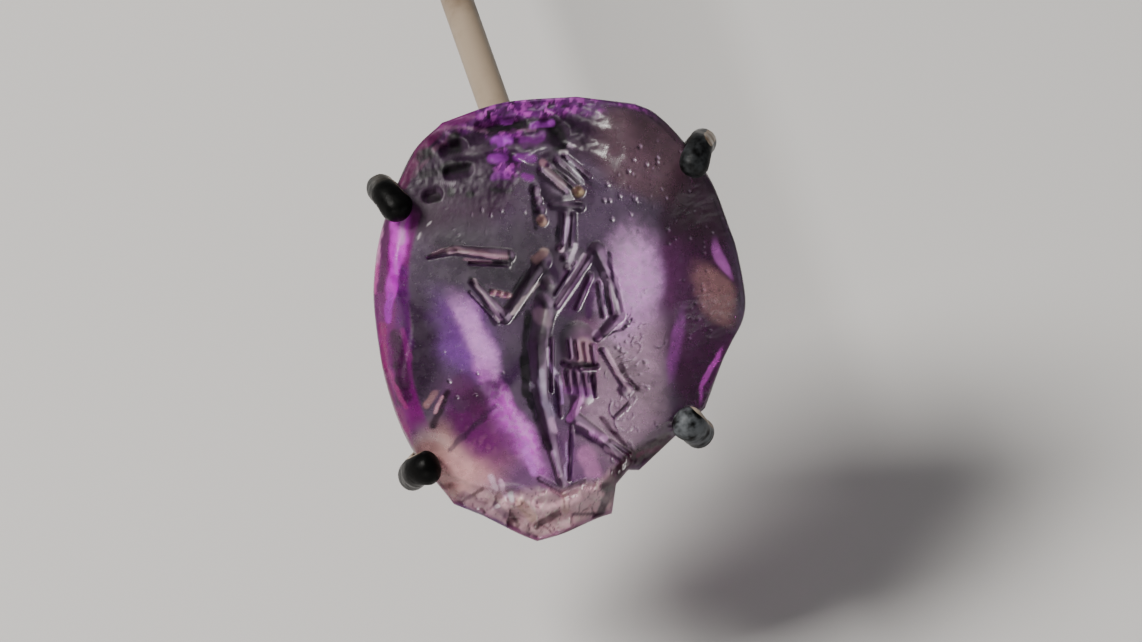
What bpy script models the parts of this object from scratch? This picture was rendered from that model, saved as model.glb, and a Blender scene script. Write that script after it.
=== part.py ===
"""A chipped amethyst intaglio held by four wire claws on a bent rod with a round foot.

Metres, +Z up. The origin is the centre of the foot's underside. The gem is modelled lying
face up in millimetres, x to its right and y to its top, then tilted to face -Y.
"""
import math

import bmesh
import bpy
import numpy as np
from mathutils import Matrix, Vector
from mathutils.geometry import delaunay_2d_cdt

MM = 0.001

# Driving dimensions in millimetres and degrees
GEM_WIDTH = 16.7
GEM_HEIGHT = 20.0
FIELD_RISE = 3.1
BACK_DEPTH = 3.5
EDGE_HALF = 0.3
FIELD_RADIUS = 55.0
FIGURE_HEIGHT = 15.2
ENGRAVING_DEPTH = 0.58
OVERLAP_DEPTH = 0.3
CUT_ROUNDNESS = 1.5
CUT_SPREAD = 1.08

WIRE_RADIUS = 0.62
WIRE_SIDES = 10
TIP_RADIUS = 0.7
TIP_FLARE = 1.3
SETTING_GAP = 0.27
HUB_RADIUS = 2.1
HUB_THICKNESS = 1.5
HUB_OVERLAP = 0.1
HUB_SIDES = 20
SOCKET_LENGTH = 3.6
SOCKET_DEPTH = 2.4
SOCKET_WALL = 0.5
SOCKET_SIDES = 16
BORE_OVERRUN = 1.0

ROD_RADIUS = 0.75
ROD_BEND_RADIUS = 5.5
ROD_SIDES = 12
FIT_GAP = 0.27
ROD_SIDE_STEP = 0.45
ROD_SWING = 14.0

FOOT_RADIUS = 14.0
FOOT_THICKNESS = 6.6
FOOT_EDGE = 1.2
FOOT_CHAMFER = 0.4
FOOT_COLLAR_RADIUS = 2.4
FOOT_COLLAR_HEIGHT = 1.4
FOOT_SOCKET_DEPTH = 5.0
COLLAR_CHAMFER = 0.3
FOOT_SIDES = 40

FACE_TILT = 45.0
GEM_CENTRE_HEIGHT = 18.0
FOOT_DISTANCE = 58.0

# Mesh spacing in millimetres
OUTLINE_STEPS = 112
BACK_RING_SHARES = (1.0, 0.93, 0.78, 0.52, 0.2)
SHOULDER_ROWS = (0.965, 0.9)
GROOVE_STEP = 0.24
GROOVE_OFFSETS = (0.0, 1.0, 0.55)
NARROW_GROOVE = 0.2
ARC_POINTS = 4
INSIDE_STEP = 0.22
INSIDE_SHARE = 0.62
NEAREST_POINTS = 0.095
EDGE_MARGIN = 0.3
FIELD_STEP = 1.0
BREAK_STEP = 0.45
CUT_BORDER = 0.3
DOME_TURNS = (22.0, 50.0)
FLAT_END = 0.0001

# The broken outline, anticlockwise from the right, as shares of half the width and half the
# height. True marks the corner of a break, where the line isn't smooth.
OUTLINE = (
    (1.00, 0.113, False), (0.957, 0.306, False), (0.914, 0.414, False), (0.817, 0.622, False),
    (0.667, 0.800, False), (0.520, 0.923, False), (0.407, 0.968, True), (0.272, 0.982, False),
    (0.089, 1.000, True), (-0.305, 0.973, False), (-0.633, 0.883, True), (-0.801, 0.734, False),
    (-0.951, 0.423, False), (-1.00, 0.180, False), (-0.989, -0.027, False),
    (-0.930, -0.302, False), (-0.801, -0.577, False), (-0.569, -0.833, True),
    (-0.418, -0.883, True), (-0.224, -0.964, False), (-0.121, -1.000, True),
    (0.024, -0.964, False), (0.191, -0.901, False), (0.283, -0.874, True),
    (0.305, -0.743, True), (0.369, -0.680, True), (0.429, -0.680, True),
    (0.617, -0.532, False), (0.784, -0.401, True), (0.876, -0.194, False),
    (0.925, -0.108, False), (0.989, 0.000, False),
)

# Ground and broken planes of the front: direction in degrees, distance of the plane's inner
# edge from the centre as a share of half the height, and slope.
PLANES = {
    "left_bevel": (184.0, 0.695, 1.30),
    "right_bevel": (3.3, 0.480, 0.66),
    "top_right_bevel": (57.0, 0.800, 0.75),
    "top_break": (102.0, 0.630, 0.42),
    "lower_left_chip": (227.0, 0.745, 0.62),
    "bottom_break": (264.0, 0.770, 0.75),
    "lower_right_break": (309.0, 0.690, 1.60),
}
PLANE_SOFTNESS = 0.35
PLANE_WAVER = 0.22
PLANE_WAVES = 1.3
PLANE_DROP = 0.35

# Width of the rounded shoulder along the outline: direction in degrees, width in millimetres
SHOULDER = ((0, 1.3), (60, 1.2), (90, 0.8), (120, 0.9), (180, 0.7), (225, 0.9), (262, 0.5),
            (305, 0.3), (335, 0.9), (360, 1.3))
SHOULDER_RISE = 3.4
BACK_SQUARENESS = 2.4
BACK_FULLNESS = 0.62

# Broken steps: how the line where they start leans and wavers, how soon they reach their full
# depth, steps per millimetre, how they slant and waver. A waver is its size, its waves per
# millimetre and its offset, with the waves in radians.
LEDGE_DEPTH = 0.08
TOP_LEDGES = {"lean": 0.22, "start": (0.25, 1.9, 0.7), "run_in": 0.5, "depth": 0.34,
              "steps": 4.6, "slant": 0.0, "wavers": ((1.4, 1.3, 0.0), (0.7, 3.1, 0.0))}
TOP_LEDGES_FADE = (0.6, 3.0)
BOTTOM_LEDGES = {"lean": -0.1, "start": (-0.2, 2.3, 0.0), "run_in": 0.4, "depth": 0.22,
                 "steps": 6.5, "slant": 1.1, "wavers": ()}
BREAK_RUN_IN = 0.5
CUT_RUN_IN = 0.6

# Claws: direction from the centre, how far the tip leans from pointing at the centre, and how
# far it reaches over the gem
CLAWS = {
    "upper_left": (143.9, -12.0, 1.05),
    "upper_right": (51.0, 17.0, 0.95),
    "lower_left": (226.7, -22.0, 0.65),
    "lower_right": (320.8, 0.0, 0.65),
}

# Side view of a claw up to the gem's edge: shares of the edge's distance, of the clearance and
# of the wires' level. The rest shapes the bend over the edge and the tip.
CLAW_SIDE = ((0.45, 0.0, 1.0), (0.72, 0.0, 0.9), (0.93, 0.4, 0.56), (1.0, 1.05, 0.12))
ELBOW_OUT = 0.92
ELBOW_RISE = 0.55
BEND_INSET = 0.32
BEND_RISE = 0.92
BEND_DROP = 0.1
TIP_LIFT = 0.08
TIP_STEPS = (0.0, -0.5, 0.1)

AMETHYST = (0.36, 0.20, 0.42)
BLACKENED = (0.035, 0.035, 0.032)
CREAM_PAINT = (0.55, 0.47, 0.38)


def hermite(p0, p1, m0, m1, t):
    """Point at t on the cubic from p0 to p1 with tangents m0 and m1."""
    return ((2 * t ** 3 - 3 * t ** 2 + 1) * p0 + (t ** 3 - 2 * t ** 2 + t) * m0
            + (3 * t ** 2 - 2 * t ** 3) * p1 + (t ** 3 - t ** 2) * m1)


def outline_curve(steps=8):
    """The outline as a dense closed line, in millimetres."""
    half = np.array([GEM_WIDTH / 2, GEM_HEIGHT / 2])
    points = [np.array(p[:2]) * half for p in OUTLINE]
    count = len(points)
    curve = []
    for i in range(count):
        a, b = points[i], points[(i + 1) % count]
        chord = b - a
        start = chord if OUTLINE[i][2] else (b - points[i - 1]) / 2
        end = chord if OUTLINE[(i + 1) % count][2] else (points[(i + 2) % count] - a) / 2
        curve += [hermite(a, b, start, end, k / steps) for k in range(steps)]
    return np.array(curve)


def outline_table():
    """Direction and radius of the outline, in order of direction."""
    curve = outline_curve()
    angle = np.arctan2(curve[:, 1], curve[:, 0]) % math.tau
    radius = np.hypot(curve[:, 0], curve[:, 1])
    order = np.argsort(angle)
    return angle[order], radius[order]


EDGE_ANGLES, EDGE_RADII = outline_table()


def edge_radius(angle):
    """Distance from the centre to the outline in this direction."""
    return np.interp(np.asarray(angle) % math.tau, EDGE_ANGLES, EDGE_RADII, period=math.tau)


def soft_min(a, b, width):
    """The lower of two heights, with the crease rounded over this width."""
    return np.minimum(a, b) - np.maximum(width - np.abs(a - b), 0.0) ** 2 / (4 * width)


def wave(place, waver):
    """A wave along a line, from its size, its waves per millimetre and its offset."""
    size, waves, offset = waver
    return size * np.sin(waves * place + offset)


def ledges(x, depth, look):
    """Broken steps at each point, from x and the distance into the break."""
    depth = depth + look["lean"] * x - wave(x, look["start"])
    turn = look["steps"] * depth + look["slant"] * x
    turn = turn + sum(wave(x, waver) for waver in look["wavers"])
    step = 0.5 + 0.5 * np.sin(turn)
    return np.clip(depth / look["run_in"], 0, 1) * (LEDGE_DEPTH + look["depth"] * step)


def top_ledges(x, y):
    """Steps broken down into the top of the gem, deepest near the crest."""
    start = PLANES["top_break"][1] * GEM_HEIGHT / 2
    inner, outer = TOP_LEDGES_FADE
    return ledges(x, y - start, TOP_LEDGES) * np.clip((outer - x) / (outer - inner), 0, 1)


def bottom_ledges(x, y):
    """Shell-shaped steps of the break at the foot of the gem."""
    start = PLANES["bottom_break"][1] * GEM_HEIGHT / 2
    return ledges(x, -y - start, BOTTOM_LEDGES)


def field_height(x, y):
    """Height of the front over the mid plane, before the figure is cut."""
    radius = np.hypot(x, y)
    angle = np.arctan2(y, x)
    height = FIELD_RISE - radius ** 2 / (2 * FIELD_RADIUS)
    for direction, share, slope in PLANES.values():
        turn = math.radians(direction)
        along = x * math.cos(turn) + y * math.sin(turn)
        across = y * math.cos(turn) - x * math.sin(turn)
        along = along + wave(across, (PLANE_WAVER, PLANE_WAVES, direction))
        plane = FIELD_RISE - PLANE_DROP - slope * (along - share * GEM_HEIGHT / 2)
        height = soft_min(height, plane, PLANE_SOFTNESS)
    inward = np.maximum(edge_radius(angle) - radius, 0.0)
    directions, widths = zip(*SHOULDER)
    width = np.interp(np.degrees(angle) % 360, directions, widths)
    bend = np.clip(inward / width, 0, 1)
    shoulder = EDGE_HALF + SHOULDER_RISE * np.sqrt(1 - (1 - bend) ** 2)
    height = np.where(inward < width, soft_min(height, shoulder, PLANE_SOFTNESS), height)
    broken = top_ledges(x, y) + bottom_ledges(x, y)
    return np.maximum(height - broken * np.clip(inward / BREAK_RUN_IN, 0, 1), EDGE_HALF)


def back_height(x, y):
    """Height of the shallow domed back, which is negative."""
    share = np.hypot(x, y) / edge_radius(np.arctan2(y, x))
    dome = np.clip(1 - np.minimum(share, 1) ** BACK_SQUARENESS, 0, 1) ** BACK_FULLNESS
    return -EDGE_HALF - (BACK_DEPTH - EDGE_HALF) * dome


# The standing figure. Places are millimetres from the gem's centre on a figure 15.2 tall, and
# every one is scaled with FIGURE_HEIGHT.
DRAWN_HEIGHT = 15.2
JOINTS = {
    "head": (0.05, 6.3),
    "neck": (0.36, 4.8),
    "throat": (0.36, 3.3),
    "left_shoulder": (-0.77, 2.6),
    "left_elbow": (-2.45, 0.05),
    "left_hand": (-3.9, 1.65),
    "right_shoulder": (1.65, 3.05),
    "right_arm": (2.3, 1.7),
    "right_elbow": (2.65, 0.15),
    "right_wrist": (1.7, -0.85),
    "chest": (0.36, 2.5),
    "waist": (-0.65, 0.45),
    "left_hip": (-0.95, -1.1),
    "left_knee": (-0.85, -3.4),
    "left_shin": (-0.4, -5.4),
    "left_ankle": (0.0, -6.95),
    "left_toe": (0.15, -7.35),
    "right_hip": (0.8, -0.9),
    "hem": (1.0, -3.3),
    "right_knee": (0.62, -4.45),
    "right_shin": (1.8, -5.3),
    "right_foot": (2.8, -6.3),
    "spear_foot": (2.95, -3.15),
}


def groove(start, end, start_width, end_width, depth):
    """A tapered round-bottomed cut from start to end, with half widths and full depth."""
    return (start, end, start_width, end_width, depth)


def bead(place, radius, depth):
    """A drilled dot."""
    return groove(place, place, radius, radius, depth)


def chain(names, widths, depth):
    """Cuts that follow the named joints, with a half width at each."""
    joints = [JOINTS[name] for name in names]
    return [groove(*pair, *wide, depth)
            for pair, wide in zip(zip(joints, joints[1:]), zip(widths, widths[1:]))]


def row(first, last, count, shape):
    """Copies of a cut, given as offsets from each place, spread evenly between two places."""
    (dx, dy), start_width, end_width, depth = shape
    cuts = []
    for share in np.linspace(0, 1, count):
        x = first[0] + (last[0] - first[0]) * share
        y = first[1] + (last[1] - first[1]) * share
        cuts.append(groove((x, y), (x + dx, y + dy), start_width, end_width, depth))
    return cuts


def head_cuts():
    """Bare oval of the head, hair combed across it, its roll and the lock that hangs behind."""
    return [
        groove((-0.1, 6.7), JOINTS["head"], 1.15, 1.1, 0.62),
        groove((-0.35, 5.75), (0.1, 5.5), 0.75, 0.7, 0.5),
        groove((-0.3, 5.1), (0.95, 5.0), 0.3, 0.26, 0.5),
        *row((-0.85, 6.65), (0.2, 7.3), 4, ((1.1, -0.95), 0.2, 0.16, 0.92)),
        bead((0.85, 5.72), 0.36, 0.95),
        *row((-1.1, 5.75), (-0.77, 4.4), 4, ((0.0, 0.0), 0.32, 0.32, 0.7)),
    ]


def neck_cuts():
    """Neck with its two cords."""
    return [
        *chain(("neck", "throat"), (0.5, 0.55), 0.5),
        *row((0.22, 4.7), (0.6, 4.7), 2, ((-0.1, -1.4), 0.14, 0.14, 0.78)),
    ]


def left_arm_cuts():
    """Arm on the left of the picture, bent up towards the object that it holds out."""
    return [
        bead(JOINTS["left_shoulder"], 0.6, 0.95),
        *chain(("left_shoulder", "left_elbow", "left_hand"), (0.4, 0.34, 0.2), 0.8),
        groove((-4.0, 1.2), (-2.75, -0.15), 0.12, 0.12, 0.4),
        groove((-2.25, 2.83), (-4.72, 3.08), 0.33, 0.27, 0.85),
        groove((-4.72, 3.08), (-5.85, 2.75), 0.27, 0.12, 0.55),
        groove((-2.3, 2.45), (-4.0, 2.5), 0.17, 0.12, 0.6),
        *row((-3.0, 1.2), (-2.35, 1.08), 3, ((0.0, 0.0), 0.2, 0.2, 0.5)),
    ]


def torso_cuts():
    """Chest, belly and the cloak's long folds across them."""
    return [
        *chain(("chest", "waist"), (1.2, 0.75), 0.5),
        bead((-0.5, 1.55), 0.5, 0.72),
        bead((-0.65, 0.75), 0.6, 1.0),
        groove((1.3, 2.75), (-0.14, 0.6), 0.26, 0.2, 0.95),
        groove((0.7, 2.5), (-0.2, 1.1), 0.18, 0.14, 0.8),
        groove((1.35, 1.9), (0.75, 0.5), 0.22, 0.18, 0.6),
        *row((0.02, 3.2), (0.4, 2.3), 3, ((0.0, 0.0), 0.28, 0.28, 0.85)),
    ]


def right_arm_cuts():
    """Arm on the right of the picture, hanging to a bent elbow, with folds inside it."""
    return [
        bead(JOINTS["right_shoulder"], 0.52, 0.7),
        *chain(("right_shoulder", "right_arm", "right_elbow"), (0.42, 0.4, 0.36), 0.7),
        *chain(("right_elbow", "right_wrist"), (0.34, 0.24), 0.85),
        *row((1.75, 1.6), (2.15, 1.7), 2, ((0.2, -1.45), 0.17, 0.17, 0.9)),
    ]


def leg_cuts():
    """Left leg that carries the weight, right leg set back, both feet and the ground line."""
    return [
        *chain(("waist", "left_hip"), (0.62, 0.58), 0.75),
        *chain(("left_hip", "left_knee"), (0.56, 0.42), 0.95),
        *chain(("left_knee", "left_shin"), (0.42, 0.4), 0.88),
        *chain(("left_shin", "left_ankle"), (0.38, 0.24), 0.8),
        *chain(("left_ankle", "left_toe"), (0.26, 0.34), 0.6),
        groove((-0.35, -0.9), (-0.35, -3.2), 0.15, 0.13, 1.0),
        groove((-0.1, -2.6), (0.05, -4.3), 0.18, 0.14, 0.8),
        groove((0.55, -4.8), (0.45, -7.2), 0.14, 0.12, 0.55),
        *chain(("right_knee", "right_shin"), (0.42, 0.36), 0.85),
        *chain(("right_shin", "right_foot"), (0.34, 0.22), 0.72),
        groove((2.3, -5.5), (3.15, -6.05), 0.16, 0.12, 0.5),
        groove((-0.9, -7.15), (0.1, -7.7), 0.14, 0.16, 0.35),
        groove((0.1, -7.7), (1.1, -7.3), 0.16, 0.14, 0.35),
    ]


def skirt_cuts():
    """Short tunic between the legs: body, two tiers of upright folds and hem."""
    return [
        *chain(("right_hip", "hem"), (1.0, 0.75), 0.5),
        *row((0.4, -0.95), (1.45, -1.2), 4, ((0.1, -0.75), 0.17, 0.13, 0.82)),
        groove((0.2, -1.95), (0.95, -2.2), 0.2, 0.2, 0.85),
        groove((0.95, -2.2), (1.7, -2.1), 0.2, 0.17, 0.8),
        *row((0.35, -2.4), (1.5, -2.6), 4, ((0.12, -0.85), 0.19, 0.12, 0.8)),
        groove((0.8, -3.55), (0.55, -4.35), 0.32, 0.22, 0.9),
    ]


def spear_cuts():
    """Thin shaft that leans out beside the tunic, with a round knob and its curl."""
    return [
        groove((1.9, -1.4), JOINTS["spear_foot"], 0.18, 0.16, 0.75),
        bead(JOINTS["spear_foot"], 0.4, 0.75),
        groove((3.1, -3.8), (2.5, -4.4), 0.14, 0.12, 0.4),
    ]


# Hollows left where splinters came away near the top: two ends as shares of half the width and
# half the height, the half width in millimetres and the depth as a share of the engraving's.
HOLLOWS = (
    ((-0.60, 0.755), (-0.54, 0.775), 0.42, 0.9),
    ((-0.585, 0.655), (-0.50, 0.67), 0.36, 0.8),
    ((-0.70, 0.55), (-0.66, 0.56), 0.34, 0.7),
    ((-0.42, 0.86), (-0.22, 0.88), 0.36, 0.9),
    ((-0.06, 0.89), (0.01, 0.84), 0.42, 0.9),
)


def all_cuts():
    """Every cut in the front as start, end, half widths and depth in millimetres."""
    figure = head_cuts() + neck_cuts() + left_arm_cuts() + torso_cuts() + right_arm_cuts()
    figure += leg_cuts() + skirt_cuts() + spear_cuts()
    scale = FIGURE_HEIGHT / DRAWN_HEIGHT
    placed = []
    for start, end, start_width, end_width, depth in figure:
        start = np.array(start) * scale
        end = np.array(end) * scale
        wide = scale * CUT_SPREAD
        placed.append((start, end, start_width * wide, end_width * wide, depth))
    half = np.array([GEM_WIDTH / 2, GEM_HEIGHT / 2])
    for start, end, width, depth in HOLLOWS:
        placed.append((np.array(start) * half, np.array(end) * half, width, width, depth))
    return [(a, b, wa, wb, depth * ENGRAVING_DEPTH) for a, b, wa, wb, depth in placed]


CUTS = all_cuts()


def across_cut(cut, x, y):
    """Distance of each point from a cut's middle line, and the cut's half width there."""
    start, end, start_width, end_width, _ = cut
    run = end - start
    share = (x - start[0]) * run[0] + (y - start[1]) * run[1]
    share = np.clip(share / max(float(run @ run), 1e-9), 0, 1)
    off = np.hypot(x - start[0] - share * run[0], y - start[1] - share * run[1])
    return off, start_width + (end_width - start_width) * share


def cut_depth(x, y):
    """How deep the engraving goes below the field at each point."""
    deepest = np.zeros_like(x)
    for cut in CUTS:
        off, width = across_cut(cut, x, y)
        depth = cut[4] * np.clip(1 - (off / width) ** 2, 0, 1) ** CUT_ROUNDNESS
        deepest = np.maximum(deepest, depth) + OVERLAP_DEPTH * np.minimum(deepest, depth)
    return deepest


def cut_clearance(x, y):
    """Distance of each point from the nearest cut's rim, negative inside a cut."""
    nearest = np.full_like(x, np.inf)
    for cut in CUTS:
        off, width = across_cut(cut, x, y)
        nearest = np.minimum(nearest, off - width)
    return nearest


def front_height(x, y):
    """Height of the finished front."""
    inward = edge_radius(np.arctan2(y, x)) - np.hypot(x, y)
    cut = cut_depth(x, y) * np.clip(inward / CUT_RUN_IN, 0, 1)
    return np.maximum(field_height(x, y) - cut, EDGE_HALF)


def groove_points(cut):
    """Mesh points that follow a cut: its middle first, then its flanks, then its rim."""
    start, end, start_width, end_width, _ = cut
    run = end - start
    length = float(np.hypot(*run))
    rows = max(1, math.ceil(length / GROOVE_STEP))
    forward = run / length if length > 1e-6 else np.array([1.0, 0.0])
    side = np.array([-forward[1], forward[0]])
    narrow = min(start_width, end_width) < NARROW_GROOVE
    for offset in GROOVE_OFFSETS[:2] if narrow else GROOVE_OFFSETS:
        for k in range(rows + 1 if length > 1e-6 else 1):
            share = k / rows
            width = start_width + (end_width - start_width) * share
            middle = start + run * share
            signs = (1,) if offset == 0 else (-1, 1)
            for sign in signs:
                yield middle + side * width * offset * sign
        if offset == 0:
            continue
        for place, width, turn in ((start, start_width, math.pi), (end, end_width, 0.0)):
            for k in range(ARC_POINTS):
                angle = math.atan2(forward[1], forward[0]) + turn
                angle += math.pi * ((k + 1) / (ARC_POINTS + 1) - 0.5)
                yield place + width * offset * np.array([math.cos(angle), math.sin(angle)])


def spread_points(step, margin):
    """A staggered net of points this far apart, inside the outline by a margin."""
    rise = step * math.sqrt(3) / 2
    rows = int(GEM_HEIGHT / 2 / rise)
    columns = int(GEM_WIDTH / 2 / step) + 1
    for j in range(-rows, rows + 1):
        for i in range(-columns, columns + 1):
            point = np.array([(i + 0.5 * (j % 2)) * step, j * rise])
            if inside_outline(point, margin):
                yield point


class PointSet:
    """Points kept at least a given distance apart."""

    def __init__(self, spacing):
        self.spacing = spacing
        self.cells = {}
        self.points = []

    def near(self, point, distance):
        """Whether a kept point lies within this distance."""
        reach = math.ceil(distance / self.spacing)
        cx, cy = (int(math.floor(v / self.spacing)) for v in point)
        for i in range(cx - reach, cx + reach + 1):
            for j in range(cy - reach, cy + reach + 1):
                for index in self.cells.get((i, j), ()):
                    if np.hypot(*(self.points[index] - point)) < distance:
                        return True
        return False

    def keep(self, point):
        """Keeps the point wherever the others are."""
        cell = tuple(int(math.floor(v / self.spacing)) for v in point)
        self.cells.setdefault(cell, []).append(len(self.points))
        self.points.append(np.asarray(point, float))

    def add(self, point, distance):
        """Keeps the point if no other lies within this distance."""
        if not self.near(point, distance):
            self.keep(point)


def edge_points():
    """Evenly turned points on the outline."""
    angles = np.arange(OUTLINE_STEPS) * math.tau / OUTLINE_STEPS
    radii = edge_radius(angles)
    return np.stack([radii * np.cos(angles), radii * np.sin(angles)], axis=1)


def inside_outline(point, margin):
    """Whether a point lies in the outline by at least this margin."""
    return float(edge_radius(math.atan2(point[1], point[0]))) - np.hypot(*point) > margin


def is_broken(point):
    """Whether a point lies in the rough breaks at the top or the foot."""
    x, y = point[:1], point[1:]
    return float(top_ledges(x, y)[0] + bottom_ledges(x, y)[0]) > LEDGE_DEPTH / 2


def near_cut(point, border):
    """Whether a point lies in a cut or this close to one."""
    return float(cut_clearance(point[:1], point[1:])[0]) < border


def front_mesh_points():
    """Points of the front's mesh, the outline's first and in order."""
    kept = PointSet(NEAREST_POINTS)
    edge = edge_points()
    for point in edge:
        kept.keep(point)
    for cut in CUTS:
        for point in groove_points(cut):
            if inside_outline(point, EDGE_MARGIN):
                kept.add(point, NEAREST_POINTS)
    for share in SHOULDER_ROWS:
        for point in edge * share:
            kept.add(point, EDGE_MARGIN)
    for point in spread_points(INSIDE_STEP, EDGE_MARGIN):
        if near_cut(point, INSIDE_STEP):
            kept.add(point, INSIDE_STEP * INSIDE_SHARE)
    for point in spread_points(BREAK_STEP, EDGE_MARGIN):
        if is_broken(point) or near_cut(point, CUT_BORDER):
            kept.add(point, BREAK_STEP * 0.7)
    for point in spread_points(FIELD_STEP, EDGE_MARGIN):
        kept.add(point, FIELD_STEP * 0.55)
    return np.array(kept.points)


def rod_direction():
    """Level direction in which the rod leaves the cradle for the foot."""
    swing = math.radians(ROD_SWING)
    return Vector((-math.sin(swing), math.cos(swing), 0.0))


def hub_place():
    """Middle of the hub behind the crossing wires, in the gem's own frame."""
    return Vector((ROD_SIDE_STEP, 0.0, wire_level() - HUB_THICKNESS / 2))


def tilt_matrix():
    """Turns the gem's own frame to face -Y and lean back, at the rod's length from the foot."""
    turn = Matrix.Rotation(math.radians(90.0 - FACE_TILT), 4, "X")
    place = -rod_direction() * FOOT_DISTANCE - turn @ hub_place()
    place.z = GEM_CENTRE_HEIGHT
    return Matrix.Translation(place * MM) @ turn


def material(name, colour, roughness, metallic=0.0, transmission=0.0):
    """A plain Principled material."""
    made = bpy.data.materials.new(name)
    made.use_nodes = True
    shader = made.node_tree.nodes["Principled BSDF"]
    shader.inputs["Base Color"].default_value = (*colour, 1.0)
    shader.inputs["Roughness"].default_value = roughness
    shader.inputs["Metallic"].default_value = metallic
    shader.inputs["Transmission Weight"].default_value = transmission
    made.diffuse_color = (*colour, 1.0)
    return made


def add_object(name, mesh, look, smooth_angle=40.0):
    """Links a mesh as a named object with its material, smooth below the given angle."""
    made = bpy.data.objects.new(name, mesh)
    bpy.context.scene.collection.objects.link(made)
    mesh.materials.append(look)
    mesh.shade_smooth()
    mesh.set_sharp_from_angle(angle=math.radians(smooth_angle))
    return made


def mesh_from(name, points, faces, to_world):
    """A mesh from points in millimetres, carried to the world by a matrix."""
    mesh = bpy.data.meshes.new(name)
    mesh.from_pydata([to_world @ (Vector(p) * MM) for p in points], [], faces)
    mesh.validate()
    shape = bmesh.new()
    shape.from_mesh(mesh)
    bmesh.ops.recalc_face_normals(shape, faces=shape.faces)
    shape.to_mesh(mesh)
    shape.free()
    return mesh


def build_gem():
    """The gem: carved front, thin edge and domed back in one closed mesh."""
    flat = front_mesh_points()
    count = OUTLINE_STEPS
    border = [list(range(count))]
    made = delaunay_2d_cdt([Vector(p) for p in flat], [], border, 1, 1e-5)
    flat = np.array([tuple(p) for p in made[0]])
    heights = front_height(flat[:, 0], flat[:, 1])
    points = [(x, y, z) for (x, y), z in zip(flat, heights)]
    faces = [tuple(face) for face in made[2]]
    rim = edge_points()
    nearest = [int(np.argmin(np.hypot(*(flat - p).T))) for p in rim]
    last = nearest
    for share in BACK_RING_SHARES:
        ring = rim * share
        depth = back_height(ring[:, 0], ring[:, 1])
        first = len(points)
        points += [(x, y, z) for (x, y), z in zip(ring, depth)]
        current = list(range(first, first + count))
        for i in range(count):
            j = (i + 1) % count
            faces.append((last[i], last[j], current[j], current[i]))
        last = current
    points.append((0.0, 0.0, -BACK_DEPTH))
    faces += [(last[i], last[(i + 1) % count], len(points) - 1) for i in range(count)]
    mesh = mesh_from("gem", points, faces, tilt_matrix())
    look = material("amethyst", AMETHYST, 0.18, transmission=0.7)
    return add_object("gem", mesh, look, 30.0)


def tube(path, radii, sides):
    """Points and faces of a tube along a path, with a point at each end."""
    path = [Vector(p) for p in path]
    points, faces = [tuple(path[0])], []
    tangent = (path[1] - path[0]).normalized()
    side = tangent.orthogonal().normalized()
    rings = []
    for k in range(1, len(path) - 1):
        ahead = (path[k + 1] - path[k]).normalized()
        behind = (path[k] - path[k - 1]).normalized()
        tangent = (ahead + behind).normalized()
        side = (side - tangent * side.dot(tangent)).normalized()
        other = tangent.cross(side)
        ring = []
        for s in range(sides):
            angle = math.tau * s / sides
            offset = side * math.cos(angle) + other * math.sin(angle)
            ring.append(len(points))
            points.append(tuple(path[k] + offset * radii[k]))
        rings.append(ring)
    points.append(tuple(path[-1]))
    end = len(points) - 1
    for s in range(sides):
        t = (s + 1) % sides
        faces.append((0, rings[0][t], rings[0][s]))
        faces.append((end, rings[-1][s], rings[-1][t]))
        for first, second in zip(rings, rings[1:]):
            faces.append((first[s], first[t], second[t], second[s]))
    return points, faces


def clear_end(line, radius):
    """Drops the points that would fold back inside the dome at the line's end."""
    kept = list(line)
    while len(kept) > 2 and (kept[-2] - kept[-1]).length < radius * 1.15:
        kept.pop(-2)
    return kept


def flared(path, radii):
    """Radii of a claw wire, a little wider towards both tips."""
    wider = []
    for point, radius in zip(path, radii):
        reach = min((point - path[0]).length, (point - path[-1]).length)
        share = min(max((TIP_FLARE - reach) / (TIP_FLARE - TIP_RADIUS), 0.0), 1.0)
        wider.append(radius * (1 + (TIP_RADIUS / WIRE_RADIUS - 1) * share))
    return wider


def rounded_tube(line, radius, sides, round_start, round_end, flare=False):
    """A tube whose ends are either domed or flat, and may be flared."""
    line = [Vector(p) for p in line]
    if round_end:
        line = clear_end(line, radius)
    if round_start:
        line = clear_end(line[::-1], radius)[::-1]
    path = [line[0]]
    radii = [0.0]
    forward = (line[1] - line[0]).normalized()
    if round_start:
        for angle in DOME_TURNS:
            path.append(line[0] + forward * radius * (1 - math.cos(math.radians(angle))))
            radii.append(radius * math.sin(math.radians(angle)))
        path.append(line[0] + forward * radius)
    else:
        path.append(line[0] + forward * FLAT_END)
    radii.append(radius)
    path += line[1:-1]
    radii += [radius] * (len(line) - 2)
    backward = (line[-2] - line[-1]).normalized()
    if round_end:
        path.append(line[-1] + backward * radius)
        radii.append(radius)
        for angle in DOME_TURNS[::-1]:
            path.append(line[-1] + backward * radius * (1 - math.cos(math.radians(angle))))
            radii.append(radius * math.sin(math.radians(angle)))
    else:
        path.append(line[-1] + backward * FLAT_END)
        radii.append(radius)
    path.append(line[-1])
    radii.append(0.0)
    return tube(path, flared(path, radii) if flare else radii, sides)


def smooth_line(points, steps):
    """A smooth line through the points, with this many steps between each pair."""
    points = [np.array(p, float) for p in points]
    line = []
    for i in range(len(points) - 1):
        a, b = points[i], points[i + 1]
        before = points[i - 1] if i else a - (b - a)
        after = points[i + 2] if i + 2 < len(points) else b + (b - a)
        for k in range(steps):
            line.append(hermite(a, b, (b - before) / 2, (after - a) / 2, k / steps))
    line.append(points[-1])
    return line


def wire_level():
    """Height of the wires' middle behind the gem."""
    return -(BACK_DEPTH + SETTING_GAP + WIRE_RADIUS)


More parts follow.
